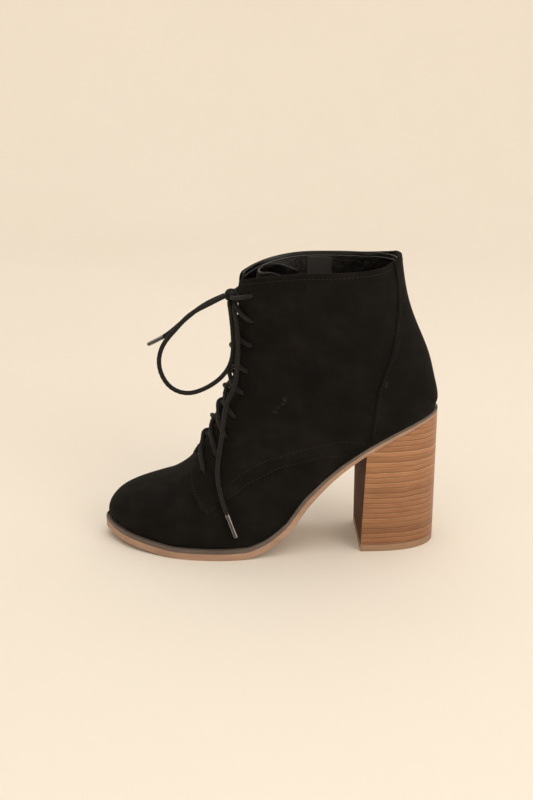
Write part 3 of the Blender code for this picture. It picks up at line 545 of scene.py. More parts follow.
def grained_sheet(name, code, roughness, grain_mm, strength):
    """A dark sheet with a fine grain in its surface."""
    material, tree, shader, place = patterned(name, Base_Color=colour(code), Roughness=roughness)
    grain = add(tree, "ShaderNodeTexNoise", values={"Scale": per_metre(grain_mm), "Detail": 3.0},
                links={"Vector": place})
    add(tree, "ShaderNodeBump", values={"Strength": strength, "Distance": 0.0003},
        links={"Height": grain.outputs["Fac"]}, to=shader.inputs["Normal"])
    return material


def ribbed_sheet(name, code, roughness, profile, strength, depth):
    """A matte sheet with slanted ribs 2 mm apart."""
    material, tree, shader, place = patterned(name, Base_Color=colour(code), Roughness=roughness)
    ribs = add(tree, "ShaderNodeTexWave", {"bands_direction": "DIAGONAL", "wave_profile": profile},
               {"Scale": bands_per_metre(2)}, {"Vector": place})
    add(tree, "ShaderNodeBump", values={"Strength": strength, "Distance": depth},
        links={"Height": ribs.outputs["Fac"]}, to=shader.inputs["Normal"])
    return material


def mottled_sheet(name, scale, detail, stops, **sockets):
    """A dull sheet whose colour wanders softly between two tones."""
    material, tree, shader, place = patterned(name, **sockets)
    tone = add(tree, "ShaderNodeTexNoise", values={"Scale": scale, "Detail": detail}, links={"Vector": place})
    add(tree, "ShaderNodeValToRGB", links={"Fac": tone.outputs["Fac"]}, stops=stops,
        to=shader.inputs["Base Color"])
    return material


def woven_lace(name, code, thread_mm):
    """Waxed cotton lace or thread: round braid with a faint lustre; its plaits are in the mesh, its fibres
    here."""
    material, tree, shader, place = patterned(name, Roughness=0.72, Specular_IOR_Level=0.2, Sheen_Weight=0.04)
    fibre = add(tree, "ShaderNodeTexNoise", values={"Scale": per_metre(thread_mm), "Detail": 3.0},
                links={"Vector": place})
    tone = add(tree, "ShaderNodeMix", {"data_type": "RGBA", "blend_type": "MULTIPLY"},
               {"Factor": 0.55, "A": colour(code)}, {"B": fibre.outputs["Color"]})
    tree.links.new(tone.outputs["Result"], shader.inputs["Base Color"])
    add(tree, "ShaderNodeBump", values={"Strength": 0.4, "Distance": 0.0002},
        links={"Height": fibre.outputs["Fac"]}, to=shader.inputs["Normal"])
    return material


def clear_aglet():
    """Clear acetate film rolled on the lace's end: grey, hard and shiny; its lighter lengthwise streaks are
    painted highlight.
    """
    material, tree, shader, place = patterned("acetate_aglet_film", Roughness=0.14, Coat_Weight=0.8,
                                              Coat_Roughness=0.06)
    film = add(tree, "ShaderNodeTexNoise", values={"Scale": per_metre(2.2), "Detail": 2.0},
               links={"Vector": place})
    # Painted highlight: the attribute marks four narrow lengthwise streaks, which the ramp below lightens
    painted_streaks = add(tree, "ShaderNodeAttribute", {"attribute_name": "painted_streaks"})
    patchy_painted_streaks = add(tree, "ShaderNodeMath", {"operation": "MULTIPLY"},
                 links={0: film.outputs["Fac"], 1: painted_streaks.outputs["Fac"]})
    add(tree, "ShaderNodeValToRGB", links={"Fac": patchy_painted_streaks.outputs[0]},
        stops=((0.05, "#1d1a18"), (0.42, "#b4b1ac")), to=shader.inputs["Base Color"])
    return material


def moulded_sole(name, dark, light, roughness):
    """Moulded resin rubber: even colour with faint streaks along the edge and a fine matte skin."""
    material, tree, shader, place = patterned(name, Roughness=roughness, Specular_IOR_Level=0.35)
    stretched = add(tree, "ShaderNodeMapping", values={"Scale": (1.0, 1.0, 5.0)}, links={"Vector": place})
    streak = add(tree, "ShaderNodeTexNoise", links={"Vector": stretched.outputs[0]},
                 values={"Scale": per_metre(26), "Detail": 6.0, "Roughness": 0.6})
    add(tree, "ShaderNodeValToRGB", links={"Fac": streak.outputs["Fac"]},
        stops=((0.32, dark), (0.68, light)), to=shader.inputs["Base Color"])
    skin = add(tree, "ShaderNodeTexNoise", values={"Scale": per_metre(0.8), "Detail": 3.0},
               links={"Vector": place})
    add(tree, "ShaderNodeBump", values={"Strength": 0.25, "Distance": 0.0002},
        links={"Height": skin.outputs["Fac"]}, to=shader.inputs["Normal"])
    return material


STACK_LAYER_MM = 3.8
# How far the joints between layers wander, and the height up to which the heel is darker, in metres
JOINT_WANDER, DARK_FOOT = 0.0032, 0.075


def stacked_heel():
    """Stacked-leather look printed on a moulded heel: level layers with dark joints, uneven grain and a low
    lacquer."""
    material, tree, shader, place = patterned("stacked_heel_wrap", Roughness=0.46, Coat_Weight=0.12,
                                              Coat_Roughness=0.3)
    drift = add(tree, "ShaderNodeTexNoise", links={"Vector": place},
                values={"Scale": per_metre(30), "Detail": 4.0, "Roughness": 0.58})
    height = add(tree, "ShaderNodeSeparateXYZ", links={0: place}).outputs["Z"]
    wavy = add(tree, "ShaderNodeMath", {"operation": "MULTIPLY_ADD"}, {1: JOINT_WANDER},
               {0: drift.outputs["Fac"], 2: height})
    layer = add(tree, "ShaderNodeMath", {"operation": "DIVIDE"}, {1: STACK_LAYER_MM * MM},
                {0: wavy.outputs[0]})
    part = add(tree, "ShaderNodeMath", {"operation": "FRACT"}, links={0: layer.outputs[0]})
    number = add(tree, "ShaderNodeMath", {"operation": "FLOOR"}, links={0: layer.outputs[0]})
    own = add(tree, "ShaderNodeTexWhiteNoise", {"noise_dimensions": "1D"}, links={"W": number.outputs[0]})
    flat = add(tree, "ShaderNodeMapping", values={"Scale": (1.0, 1.0, 9.0)}, links={"Vector": place})
    grain = add(tree, "ShaderNodeTexNoise", links={"Vector": flat.outputs[0]},
                values={"Scale": per_metre(11), "Detail": 8.0, "Roughness": 0.7})
    foot = add(tree, "ShaderNodeMapRange", values={"From Min": 0.0, "From Max": DARK_FOOT},
               links={"Value": height})
    joint = add(tree, "ShaderNodeValToRGB", links={"Fac": part.outputs[0]}, stops=(
        (0.0, "#8a5a36"), (0.14, "#a27148"), (0.36, "#b48157"), (0.62, "#b8865b"), (0.80, "#ab7951"),
        (0.91, "#d0aa86"), (1.0, "#996843"))).outputs["Color"]
    # Multiplied onto the layers in turn: their grain, each layer's own tone, and the darker foot
    tone = joint
    for source, stops, strength in (
            (grain.outputs["Fac"], ((0.3, "#b39a86"), (0.5, "#e9dfd6"), (0.75, "#ffffff")), 0.6),
            (own.outputs["Value"], ((0.0, "#e0d8d0"), (1.0, "#ffffff")), 1.0),
            (foot.outputs[0], ((0.0, "#d8cfc7"), (1.0, "#ffffff")), 1.0)):
        shade = add(tree, "ShaderNodeValToRGB", links={"Fac": source}, stops=stops)
        tone = add(tree, "ShaderNodeMix", {"data_type": "RGBA", "blend_type": "MULTIPLY"},
                   {"Factor": strength}, {"A": tone, "B": shade.outputs["Color"]}).outputs["Result"]
    tree.links.new(tone, shader.inputs["Base Color"])
    add(tree, "ShaderNodeBump", values={"Strength": 0.3, "Distance": 0.0003}, to=shader.inputs["Normal"],
        links={"Height": add(tree, "ShaderNodeRGBToBW", links={0: joint}).outputs[0]})
    return material


def bright_nickel():
    """Nickel-plated zinc die casting, polished and lightly tumbled."""
    material, tree, shader, place = patterned("nickel_plated_zinc", Base_Color=colour("#cfcbc4"),
                                              Metallic=1.0)
    tumble = add(tree, "ShaderNodeTexNoise", values={"Scale": per_metre(1.5), "Detail": 4.0},
                 links={"Vector": place})
    add(tree, "ShaderNodeMapRange", values={"To Min": 0.14, "To Max": 0.32},
        links={"Value": tumble.outputs["Fac"]}, to=shader.inputs["Roughness"])
    return material


SUEDE = faux_suede()
LINING = coated_lining()
# Folded edge of the lining: the same black film, stretched smooth and so shinier; its colour, lighter than
# the lining's, is painted highlight along the collar's rim
FOLD = plain_material("folded_film_painted_highlight", Base_Color=colour("#1d1b19"), Roughness=0.26, Coat_Weight=1.0,
                      Coat_Roughness=0.14)
# Insole sock: fine grained synthetic film, satin
SOCK = grained_sheet("black_insole_sock", "#171513", 0.5, 0.7, 0.3)
# Zip guard: brushed textile, matte beside the shiny lining
GUARD = grained_sheet("charcoal_brushed_textile", "#252321", 0.9, 0.6, 0.4)
LACE = woven_lace("black_waxed_round_lace", "#201d1a", 0.35)
THREAD = woven_lace("black_polyester_thread", "#211e1b", 0.2)
AGLET = clear_aglet()
OUTSOLE = moulded_sole("tan_moulded_resin", "#9a7b67", "#b0907a", 0.5)
WELT = moulded_sole("taupe_moulded_resin", "#584e48", "#6b5f57", 0.55)
TOP_LIFT = moulded_sole("tan_rubber_heel_tip", "#92735a", "#a28269", 0.65)
# Walking faces: resin with fine slanted ribs, matte
TREAD = ribbed_sheet("tan_ribbed_tread", "#94745f", 0.7, "TRI", 0.9, 0.0008)
HEEL = stacked_heel()
# Heel breast: the wrap's front face, dark brown and satin; its brown is made darker still as painted shade
# for the face turned forward under the arch
BREAST = mottled_sheet("dark_heel_breast_painted_shade", per_metre(14), 6.0, ((0.3, "#4a2f1b"), (0.7, "#634229")),
                       Roughness=0.75, Specular_IOR_Level=0.12)
# Zip tape: woven polyester twill, dull; its ribs are about 0.6 mm apart, drawn at 2 mm so that they show
TAPE = ribbed_sheet("black_zip_twill", "#1b1a19", 0.8, "SIN", 0.5, 0.0003)
# Zip coil: moulded nylon filament with a soft shine
COIL = plain_material("black_nylon_coil", Base_Color=colour("#191817"), Roughness=0.35)
NICKEL = bright_nickel()
# Seamless paper sweep: warm cream, matte
PAPER = mottled_sheet("cream_paper_sweep", 3.0, 3.0, ((0.3, "#f1e9dd"), (0.7, "#f3ebe0")),
                      Roughness=0.9, Specular_IOR_Level=0.1)


# Meshes


def put(name, data):
    """A new object of that data in the scene."""
    made = bpy.data.objects.new(name, data)
    bpy.context.scene.collection.objects.link(made)
    return made


def piece(name, points, face_blocks, material, slot, body="boot", replaced=(), sharp_deg=50, values=None):
    """A piece from millimetre points and blocks of faces of one width each, riding on a body."""
    mesh = bpy.data.meshes.new(name)
    blocks = [np.asarray(block, np.int32) for block in face_blocks if len(block)]
    corners = np.concatenate([block.ravel() for block in blocks])
    totals = np.concatenate([np.full(len(block), block.shape[1], np.int32) for block in blocks])
    mesh.vertices.add(len(points))
    mesh.vertices.foreach_set("co", to_frame(points).astype(np.float32).ravel())
    mesh.loops.add(len(corners))
    mesh.loops.foreach_set("vertex_index", corners)
    mesh.polygons.add(len(totals))
    mesh.polygons.foreach_set("loop_start", np.concatenate(((0,), np.cumsum(totals)[:-1])).astype(np.int32))
    mesh.polygons.foreach_set("loop_total", totals)
    mesh.update(calc_edges=True)
    mesh.shade_smooth()
    mesh.set_sharp_from_angle(angle=math.radians(sharp_deg))
    mesh.materials.append(material)
    for key, array in (values or {}).items():
        mesh.attributes.new(key, "FLOAT", "POINT").data.foreach_set("value", array.astype(np.float32))
    made = put(name, mesh)
    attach(made, body)
    if replaced:
        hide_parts(*replaced)
    return made


def grid_quads(rows, columns, start=0):
    """Quads of a grid of points stored row by row."""
    i, j = np.meshgrid(np.arange(rows - 1), np.arange(columns - 1), indexing="ij")
    a = (start + i * columns + j).ravel()
    return np.stack((a, a + 1, a + columns + 1, a + columns), axis=1)


def ring_faces(rings, sides):
    """Quads between rings of points, and a cap on the first and the last ring."""
    i, j = np.meshgrid(np.arange(rings - 1), np.arange(sides), indexing="ij")
    a, b = (i * sides + j).ravel(), (i * sides + (j + 1) % sides).ravel()
    caps = np.stack((np.arange(sides)[::-1], (rings - 1) * sides + np.arange(sides)))
    return [np.stack((a, b, b + sides, a + sides), axis=1), caps]


def weld(points, quads):
    """Merges points that coincide; gives the first index of each kept point and the new quads."""
    _, first, index = np.unique(np.round(points, 3), axis=0, return_index=True, return_inverse=True)
    return first, index.reshape(-1)[quads]


def thick_sheet(outer, inner, quads, squareness=1.0, bulge=1.0, steps=5):
    """Closed sheet: outer and inner grids, and a rim of half turns between their borders.

    A rim point is the middle of both borders, plus half their distance by a power of the cosine, plus the way
    out of the sheet by a power of the sine: power 1 is round, a small one square with rounded corners.
    """
    count = len(outer)
    a, b, c, d = (outer[quads[:, k]] for k in range(4))
    if np.mean(np.einsum("ij,ij->i", np.cross(c - a, d - b), (outer - inner)[quads[:, 0]])) < 0:
        quads = quads[:, ::-1]
    edges = np.concatenate([quads[:, [k, (k + 1) % 4]] for k in range(4)])
    edges = edges[edges[:, 0] != edges[:, 1]]
    key = edges.min(axis=1) * count + edges.max(axis=1)
    _, index, counts = np.unique(key, return_inverse=True, return_counts=True)
    border = edges[counts[index.reshape(-1)] == 1]
    away = np.cross(outer[border[:, 1]] - outer[border[:, 0]], (outer - inner)[border[:, 0]])
    reach = np.zeros_like(outer)
    np.add.at(reach, border[:, 0], unit(away))
    np.add.at(reach, border[:, 1], unit(away))
    rim = np.unique(border)
    place = np.full(count, -1)
    place[rim] = np.arange(len(rim))
    middle, half = (outer[rim] + inner[rim]) / 2, (outer[rim] - inner[rim]) / 2
    out = unit(reach[rim]) * np.linalg.norm(half, axis=1, keepdims=True) * bulge
    turn = np.linspace(0, math.pi, steps + 2)[1:-1, None, None]
    cosine, sine = np.cos(turn), np.sin(turn)
    rings = middle + half * np.sign(cosine) * np.abs(cosine) ** squareness + out * sine ** squareness
    points = np.concatenate((outer, inner, rings.reshape(-1, 3)))
    ring_ids = 2 * count + np.arange(steps)[:, None] * len(rim) + place[border.T.ravel()][None, :]
    ids = np.concatenate((border.T.ravel()[None, :], ring_ids, border.T.ravel()[None, :] + count))
    ids = ids.reshape(steps + 2, 2, -1)
    rims = np.stack((ids[:-1, 1], ids[:-1, 0], ids[1:, 0], ids[1:, 1]), axis=-1).reshape(-1, 4)
    return points, np.concatenate((quads, quads[:, ::-1] + count, rims))


PLAITS, PLAIT_LENGTH = 3, 3.4


def braid(angle, run):
    """Relief of a round braid: the higher of two opposite spirals of plaits."""
    pitch = 2 * math.pi * run / PLAIT_LENGTH
    return np.maximum(np.cos(PLAITS * angle + pitch), np.cos(PLAITS * angle - pitch))


def tube(path, radius, sides=16, reference=(0.15, 1.0, 0.1), relief=0.0, cap=3):
    """Round tube: circles square to the path, closed by rounded ends.

    Each ring is the path's point plus radius times a turn of two directions square to the path, the first of
    them the reference made square to it.
    """
    path = np.asarray(path, float)
    along = unit(np.gradient(path, axis=0))
    first = unit(np.asarray(reference) - along * (along @ np.asarray(reference))[:, None])
    second = np.cross(along, first)
    run = run_along(path)
    turn = np.linspace(0, math.pi / 2, cap + 1)[1:]
    head = np.concatenate((np.zeros(cap, int), np.arange(len(path)), np.full(cap, len(path) - 1)))
    slide = np.concatenate((-np.sin(turn)[::-1], np.zeros(len(path)), np.sin(turn))) * radius
    size = np.concatenate((np.cos(turn)[::-1], np.ones(len(path)), np.cos(turn)))
    size = np.maximum(size, 0.03)
    angle = np.linspace(0, 2 * math.pi, sides, endpoint=False)[None, :]
    spread = radius * size[:, None] * (1 + relief * braid(angle, run[head][:, None]))
    ring = (np.cos(angle)[..., None] * first[head][:, None, :]
            + np.sin(angle)[..., None] * second[head][:, None, :])
    points = (path[head] + along[head] * slide[:, None])[:, None, :] + spread[..., None] * ring
    return points.reshape(-1, 3), ring_faces(len(head), sides)


def joined(parts):
    """Several (points, face blocks) as one."""
    points, quads, others, start = [], [], [], 0
    for block, faces in parts:
        points.append(block)
        for face in faces:
            (quads if face.shape[1] == 4 else others).append(face + start)
        start += len(block)
    widths = sorted({face.shape[1] for face in others})
    return np.concatenate(points), [np.concatenate(quads)] + [
        np.concatenate([face for face in others if face.shape[1] == width]) for width in widths]


def smooth_route(route, spacing):
    """Even points on a natural spline through the route's own points, by the length between them."""
    route = np.asarray(route, float)
    run = run_along(route)
    at = np.linspace(0, run[-1], max(int(round(run[-1] / spacing)), 2) + 1)
    return np.stack([natural_spline(run, route[:, axis], at) for axis in range(3)], axis=1)


def length_of(path):
    return float(np.linalg.norm(np.diff(path, axis=0), axis=1).sum())


# Lace: the bow's routes follow the part's source, eased by up to 3 mm

LOOP_LATERAL = (
    (29.6, 3.8, 178.9), (33.6, 8.2, 178.0), (40.2, 12.0, 175.4), (52.2, 15.0, 169.3), (63.1, 17.0, 158.7),
    (71.2, 18.0, 148.5), (74.4, 18.0, 137.5), (72.3, 17.0, 125.8), (66.2, 16.0, 117.3), (56.1, 15.0, 113.4),
    (43.5, 14.5, 116.7), (33.6, 14.8, 123.6), (26.8, 15.2, 133.0), (24.2, 15.6, 145.0), (24.4, 14.2, 157.0),
    (25.6, 9.6, 167.8), (26.9, 3.5, 174.3),
)
LOOP_MEDIAL = (
    (28.0, -5.0, 178.0), (27.4, -10.5, 174.8), (25.2, -15.4, 168.0), (23.4, -18.0, 159.0),
    (22.8, -18.8, 149.0), (23.0, -20.0, 138.0), (21.4, -23.8, 126.0), (16.0, -28.8, 117.0),
    (7.0, -32.6, 112.0), (-3.0, -34.4, 113.0), (-9.0, -34.6, 120.0), (-9.6, -34.2, 130.0),
    (-6.0, -34.0, 142.0), (1.0, -33.4, 154.0), (9.0, -31.6, 164.4), (16.6, -26.4, 172.2),
    (22.2, -18.4, 177.2), (25.2, -11.0, 178.8), (26.0, -5.4, 179.2),
)
END_SHORT = (
    (30.6, -1.0, 178.2), (34.6, 1.4, 177.0), (41.5, 3.6, 174.1), (50.0, 5.0, 168.7), (59.8, 6.0, 160.6),
    (68.2, 6.4, 153.6), (71.8, 6.6, 151.1),
)
END_LONG = (
    (23.6, 8.6, 172.8), (22.4, 14.2, 167.0), (21.2, 18.6, 158.0), (20.7, 20.4, 144.6), (21.6, 21.8, 131.2),
    (24.2, 23.0, 117.9), (28.2, 22.8, 109.6), (30.2, 24.4, 100.4), (31.6, 28.2, 89.3), (33.0, 31.6, 79.6),
    (34.8, 34.0, 67.4), (34.4, 38.6, 55.8), (32.4, 42.0, 47.0), (30.0, 44.0, 39.6), (28.6, 44.6, 36.0),
)
AGLET_SHORT_TIP = (81.9, 7.0, 146.1)
AGLET_LONG_TIP = (22.7, 45.2, 19.6)
AGLET_RADIUS = 1.6
LACE_SPACING = 0.55
LACE_RELIEF = 0.07
AGLET_SIDES = 24


def make_aglet(node, start, tip):
    """Rolled film on a lace's end: a slim tube with a short second layer of film at its upper end, and
    lengthwise streaks of painted highlight round it.
    """
    start, tip = np.asarray(start, float), np.asarray(tip, float)
    way = start + (tip - start) * np.linspace(0.04, 1, 30)[:, None]
    points, faces = joined([tube(way, AGLET_RADIUS * 0.92, AGLET_SIDES),
                            tube(way[:5], AGLET_RADIUS, AGLET_SIDES, cap=2)])
    angle = 2 * math.pi * (np.arange(len(points)) % AGLET_SIDES) / AGLET_SIDES
    # Painted highlight: four narrow lengthwise streaks round the film, lightened in the material
    painted_streaks = np.maximum(-np.cos(4 * angle), 0) ** 3
    return piece(node + "_film", points, faces, AGLET, "aglet", replaced=(node,), values={"painted_streaks": painted_streaks})


def lace_cord(name, node, route, with_pieces=()):
    """One free stretch of the lace from the knot."""
    path = smooth_route(route, LACE_SPACING)
    made = piece(name, *tube(path, LACE_RADIUS, relief=LACE_RELIEF), LACE, "lace", replaced=(node,))


def make_bow():
    """The bow's two loops and two ends as braided tubes of the lace's real length, and the ends' aglets."""
    lace_cord("bow_loop_outer", "lace_loop_lateral", LOOP_LATERAL)
    lace_cord("bow_loop_inner", "lace_loop_medial", LOOP_MEDIAL)
    for name, node, route, film, tip in (
            ("bow_end_short", "lace_end_short", END_SHORT, "aglet_short", AGLET_SHORT_TIP),
            ("bow_end_long", "lace_end_long", END_LONG, "aglet_long", AGLET_LONG_TIP)):
        lace_cord(name, node, route, (make_aglet(film, route[-1], tip),))


KNOT_AT = np.array((25.2, 0.0, 178.8))
KNOT_CORE = (4.1, 4.8, 3.5)
WRAP_RADIUS, WRAP_TURNS, WRAP_WIDTH = 2.75, 2.2, 4.6
STRAND_RADIUS, STRAND_TWIST, STRAND_WIDTH = 1.3, 2.2, 8.4


def make_knot():
    """The bow's knot: two strands twisted along Y over a full middle, bound by slanting turns of lace."""
    share = np.linspace(0, 1, 110)
    turn = 2 * math.pi * (WRAP_TURNS * share - 0.1)
    wrap = KNOT_AT + np.stack((WRAP_RADIUS * np.cos(turn) + 0.6,
                               WRAP_WIDTH * share - WRAP_WIDTH / 2 + 0.5 * np.sin(turn),
                               WRAP_RADIUS * np.sin(turn)), axis=1)
    parts = [tube(wrap, LACE_RADIUS, reference=(0.05, 1, 0), relief=LACE_RELIEF),
             rounded_block(KNOT_CORE, KNOT_AT, power=0.9)]
    for start in (0.0, math.pi):
        twist = start + STRAND_TWIST * share
        strand = KNOT_AT + np.stack((STRAND_RADIUS * np.cos(twist), STRAND_WIDTH * share - STRAND_WIDTH / 2,
                                     STRAND_RADIUS * np.sin(twist)), axis=1)
        parts.append(tube(strand, LACE_RADIUS, reference=(1, 0.1, 0.3), relief=LACE_RELIEF))
    piece("bow_knot", *joined(parts), LACE, "lace", replaced=("lace_knot",))


EYE_SECTION = table_column(EYELET_ROWS, EYELET_COLUMNS, "section")
EYE_WIDTH = table_column(EYELET_ROWS, EYELET_COLUMNS, "width")
# The gap between the facings closes up from its foot to their front ends; at the collar its corners are round
THROAT_FOOT, FACING_END, FOOT_CLOSES = 0.405, 0.358, 3.5
CORNER_FROM, CORNER_REACH, CORNER_OPENS = 0.972, 0.028, 4.5
# How far up to the next eyelet each pair's strands go over the facings' edges
STRAND_RISE = (0.30, 0.30, 0.16, 0.12, 0.10, 0.10, 0.10, 0.30)


def facing_half(section):
    """Half the gap between the facings, from the round front ends to the collar with its rounded corner."""
    along = np.clip((section - THROAT_FOOT) / (1 - THROAT_FOOT), 0, 1)
    foot = FOOT_CLOSES * ease(THROAT_FOOT, FACING_END, section)
    corner = np.clip((section - CORNER_FROM) / CORNER_REACH, 0, 1)
    rounded = CORNER_OPENS * (1 - np.sqrt(1 - corner ** 2 * 0.99))
    return THROAT_HALF + (COLLAR_HALF - THROAT_HALF) * along - foot + rounded


def crossing(pair, side):
    """A strand out of one eyelet, over the facing's edge, across the gap and under the facing on the other
    side: share of the way up to the next pair, distance from the ridge and lift."""
    low, high = EYE_SECTION[pair], EYE_SECTION[pair + 1]
    step, half = high - low, facing_half((low + high) / 2)
    up = STRAND_RISE[pair]
    way = np.array((
        (0.00, EYE_WIDTH[pair] + 0.3, -3.0), (0.07 * up, EYE_WIDTH[pair], 0.6),
        (0.4 * up, EYE_WIDTH[pair] - 1.8, 2.7), (up, half + 2.0, 2.75), (up + 0.14, half - 2.0, 2.2),
        (0.45 + up / 2, 0.0, 1.1 + 0.9 * side * (-1) ** pair),
        (0.74, -half + 2.5, -1.2), (0.84, -half - 1.5, -3.6), (0.95, -EYE_WIDTH[pair + 1] + 2.0, -3.6)))
    return low + way[:, 0] * step, side * way[:, 1], way[:, 2]


def top_strand(side):
    """From a top eyelet forward to the knot's side."""
    way = np.array(((0.940, 21.3, -3.0), (0.9395, 21.0, 0.6), (0.936, 19.0, 2.7), (0.926, 13.5, 3.0),
                    (0.915, 8.6, 3.6), (0.909, 4.6, 4.0)))
    return way[:, 0], side * way[:, 1], way[:, 2]


def make_crossings():
    """The laced part over nine pairs of eyelets."""
    ways = [crossing(pair, side) for pair in range(len(EYELET_ROWS) - 1) for side in (1, -1)]
    ways += [top_strand(side) for side in (1, -1)]
    parts = [tube(smooth_route(over_ridge(*way), LACE_SPACING), LACE_RADIUS, reference=(0.3, 0.1, 1.0),
                  relief=LACE_RELIEF) for way in ways]
    piece("laced_crossings", *joined(parts), LACE, "lace", replaced=("lace_crossings",))


# Upper: vamp, quarters, back panel, lining and tongue


def edge_share(rows, section):
    """Share of a panel's edge at a section, steady between the table's rows."""
    at, share = (table_column(rows, EDGE_COLUMNS, name) for name in EDGE_COLUMNS)
    return np.clip(steady_spline(at, share, np.clip(section, at[0], at[-1])), 0, 1)


def quarter_edge(section):
    return edge_share(QUARTER_EDGE_ROWS, section)


def panel_edge(section):
    """Two runs that meet in a corner at the section where the sole's edge turns into the back line."""
    corner = [row[0] for row in PANEL_EDGE_ROWS].index(HEEL_BACK_SECTION)
    return np.where(section < HEEL_BACK_SECTION, edge_share(PANEL_EDGE_ROWS[:corner + 1], section),
                    edge_share(PANEL_EDGE_ROWS[corner:], section))


# Soft creases: side, from and to as section and share, width and depth in millimetres
CREASE_ROWS = (
    (1, 0.300, 0.10, 0.330, 0.52, 5.0, 0.55),
    (1, 0.335, 0.06, 0.365, 0.40, 4.0, 0.35),
    (-1, 0.300, 0.10, 0.335, 0.50, 5.0, 0.50),
    (1, 0.700, 0.22, 0.655, 0.55, 6.0, 0.60),
    (1, 0.790, 0.25, 0.720, 0.52, 7.0, 0.45),
    (-1, 0.700, 0.22, 0.655, 0.55, 6.0, 0.55),
    (-1, 0.790, 0.26, 0.730, 0.50, 7.0, 0.45),
)


def creases(base, side):
    """Sum of soft troughs, each a bell across its line with low ridges beside it, fading at both ends."""
    lift = np.zeros(base.shape[:-1])
    for row_side, s0, t0, s1, t1, width, depth in CREASE_ROWS:
        if row_side != side:
            continue
        line = last_point(np.linspace(s0, s1, 24), np.linspace(t0, t1, 24), side)
        apart = np.linalg.norm(base[..., None, :] - line, axis=-1)
        near = apart.min(axis=-1)
        place = apart.argmin(axis=-1) / 23
        fade = np.sin(math.pi * np.clip(0.08 + 0.84 * place, 0, 1))
        bell = np.exp(-(near / width) ** 2)
        lift += depth * fade * (-bell + 0.45 * np.exp(-((near - 1.7 * width) / width) ** 2))
    return lift


# Punched holes: where the suede starts to dip, where it is down and how deep, and the swelling round the hole
HOLE_EDGE, HOLE_RADIUS, HOLE_DEPTH = 2.1, 1.5, 3.0
SWELL_AT, SWELL_WIDTH, SWELL_HEIGHT = 2.8, 0.6, 0.15


def eyelet_relief(base, side):
    """Punched holes: the suede dips steeply inside each one, with a faint swelling round it."""
    lift = np.zeros(base.shape[:-1])
    for section, width in EYELET_ROWS:
        apart = np.linalg.norm(base - over_ridge(section, side * width, 0.0), axis=-1)
        swell = SWELL_HEIGHT * np.exp(-((apart - SWELL_AT) / SWELL_WIDTH) ** 2)
        lift += swell - HOLE_DEPTH * ease(HOLE_EDGE, HOLE_RADIUS, apart)
    return lift


def sheet_piece(name, halves, out, inn, material, slot, node="upper", bulge=0.8, wear=None, soften=None):
    """A closed panel from half grids of (sections, shares, side), laid off the last by out and inn."""
    bases, outers, inners, quads, worn, start = [], [], [], [], [], 0
    for section, share, side in halves:
        section, share = np.broadcast_arrays(section, share)
        base = last_point(section, share, side)
        bases.append(base.reshape(-1, 3))
        outer = raised(section, share, side, out(section, share, side, base))
        outers.append((soften(outer, section, share) if soften else outer).reshape(-1, 3))
        inners.append(raised(section, share, side, inn(section, share, side, base)).reshape(-1, 3))
        worn.append(wear(base, side).reshape(-1) if wear else np.zeros(base[..., 0].size))
        quads.append(grid_quads(*section.shape, start)[:, ::side])
        start += section.size
    first, welded = weld(np.concatenate(bases), np.concatenate(quads))
    outer, inner = np.concatenate(outers)[first], np.concatenate(inners)[first]
    points, faces = thick_sheet(outer, inner, welded, bulge=bulge)
    values = {}
    if wear:
        values["wear"] = np.zeros(len(points))
        values["wear"][:len(first)] = np.concatenate(worn)[first]
    piece(name, points, [faces], material, slot, replaced=(node,), values=values)


def level_lift(value):
    """A lift that is the same everywhere."""
    return lambda section, share, side, base: np.full(section.shape, value)


# Vamp: sections of the toe's back and of its end under the quarters, its lap under them as a share, and the
# sections over which it makes way for the throat
TOE_BACK, VAMP_END, VAMP_LAP = 0.2, 0.622, 0.06
VAMP_THROAT = (0.376, 0.400)
VAMP_INSIDE = -1.9


def make_vamp():
    """Vamp from the toe, where its sections lie closer, to under the quarters, which end it at the throat."""
    section = np.concatenate((np.linspace(0.055, 1, 130) ** 2 * TOE_BACK,
                              np.linspace(TOE_BACK, VAMP_END, 130)[1:]))[:, None]
    across = np.linspace(0, 1, 80)[None, :]
    top = (quarter_edge(section) - VAMP_LAP) * ease(*VAMP_THROAT, section)
    sheet_piece("vamp", [(section, top + (1 - top) * across, side) for side in (1, -1)],
                lambda s, t, side, base: creases(base, side), level_lift(VAMP_INSIDE), SUEDE, "suede")


SCUFF_LINE = ((0.604, 0.379), (0.6215, 0.3875), (0.6305, 0.389), (0.6425, 0.388))
SCUFF_WEAR, SCUFF_WIDTH = 0.34, 0.5


def scuff(base, side):
    """A rubbed spot on the outer quarter: a bell of lighter nap, broken along its length."""
    if side < 0:
        return np.zeros(base.shape[:-1])
    apart = np.linalg.norm(base[..., None, :] - last_point(*table_line(SCUFF_LINE, 40), 1), axis=-1)
    broken = 0.55 + 0.45 * np.sin(apart.argmin(axis=-1) * 0.55 + 2.0)
    return SCUFF_WEAR * broken * np.exp(-(apart.min(axis=-1) / SCUFF_WIDTH) ** 2)


QUARTER_LIFT = OVERLAY_STEP
QUARTER_INSIDE = -0.5
QUARTER_LAP = 0.05


def quarter_grid(side):
    """Sections and shares of a quarter: round front end, throat edge, collar, and its edge under the back
    panel."""
    along = np.linspace(0, 1, 250)[:, None]
    across = np.linspace(0, 1, 100)[None, :] ** 1.25
    front = steady_spline(*(table_column(FACING_FRONT_ROWS, FACING_FRONT_COLUMNS, name)
                            for name in FACING_FRONT_COLUMNS), across)
    collar = share_at_width(1.0, facing_half(1.0), side)
    collar = below_collar(collar + (panel_edge(1.0) + QUARTER_LAP - collar) * across, side)
    section = front + (collar - front) * along
    top = share_at_width(section, facing_half(section), side)
    bottom = np.minimum(quarter_edge(section), panel_edge(section) + QUARTER_LAP)
    return section, top + (bottom - top) * across, side


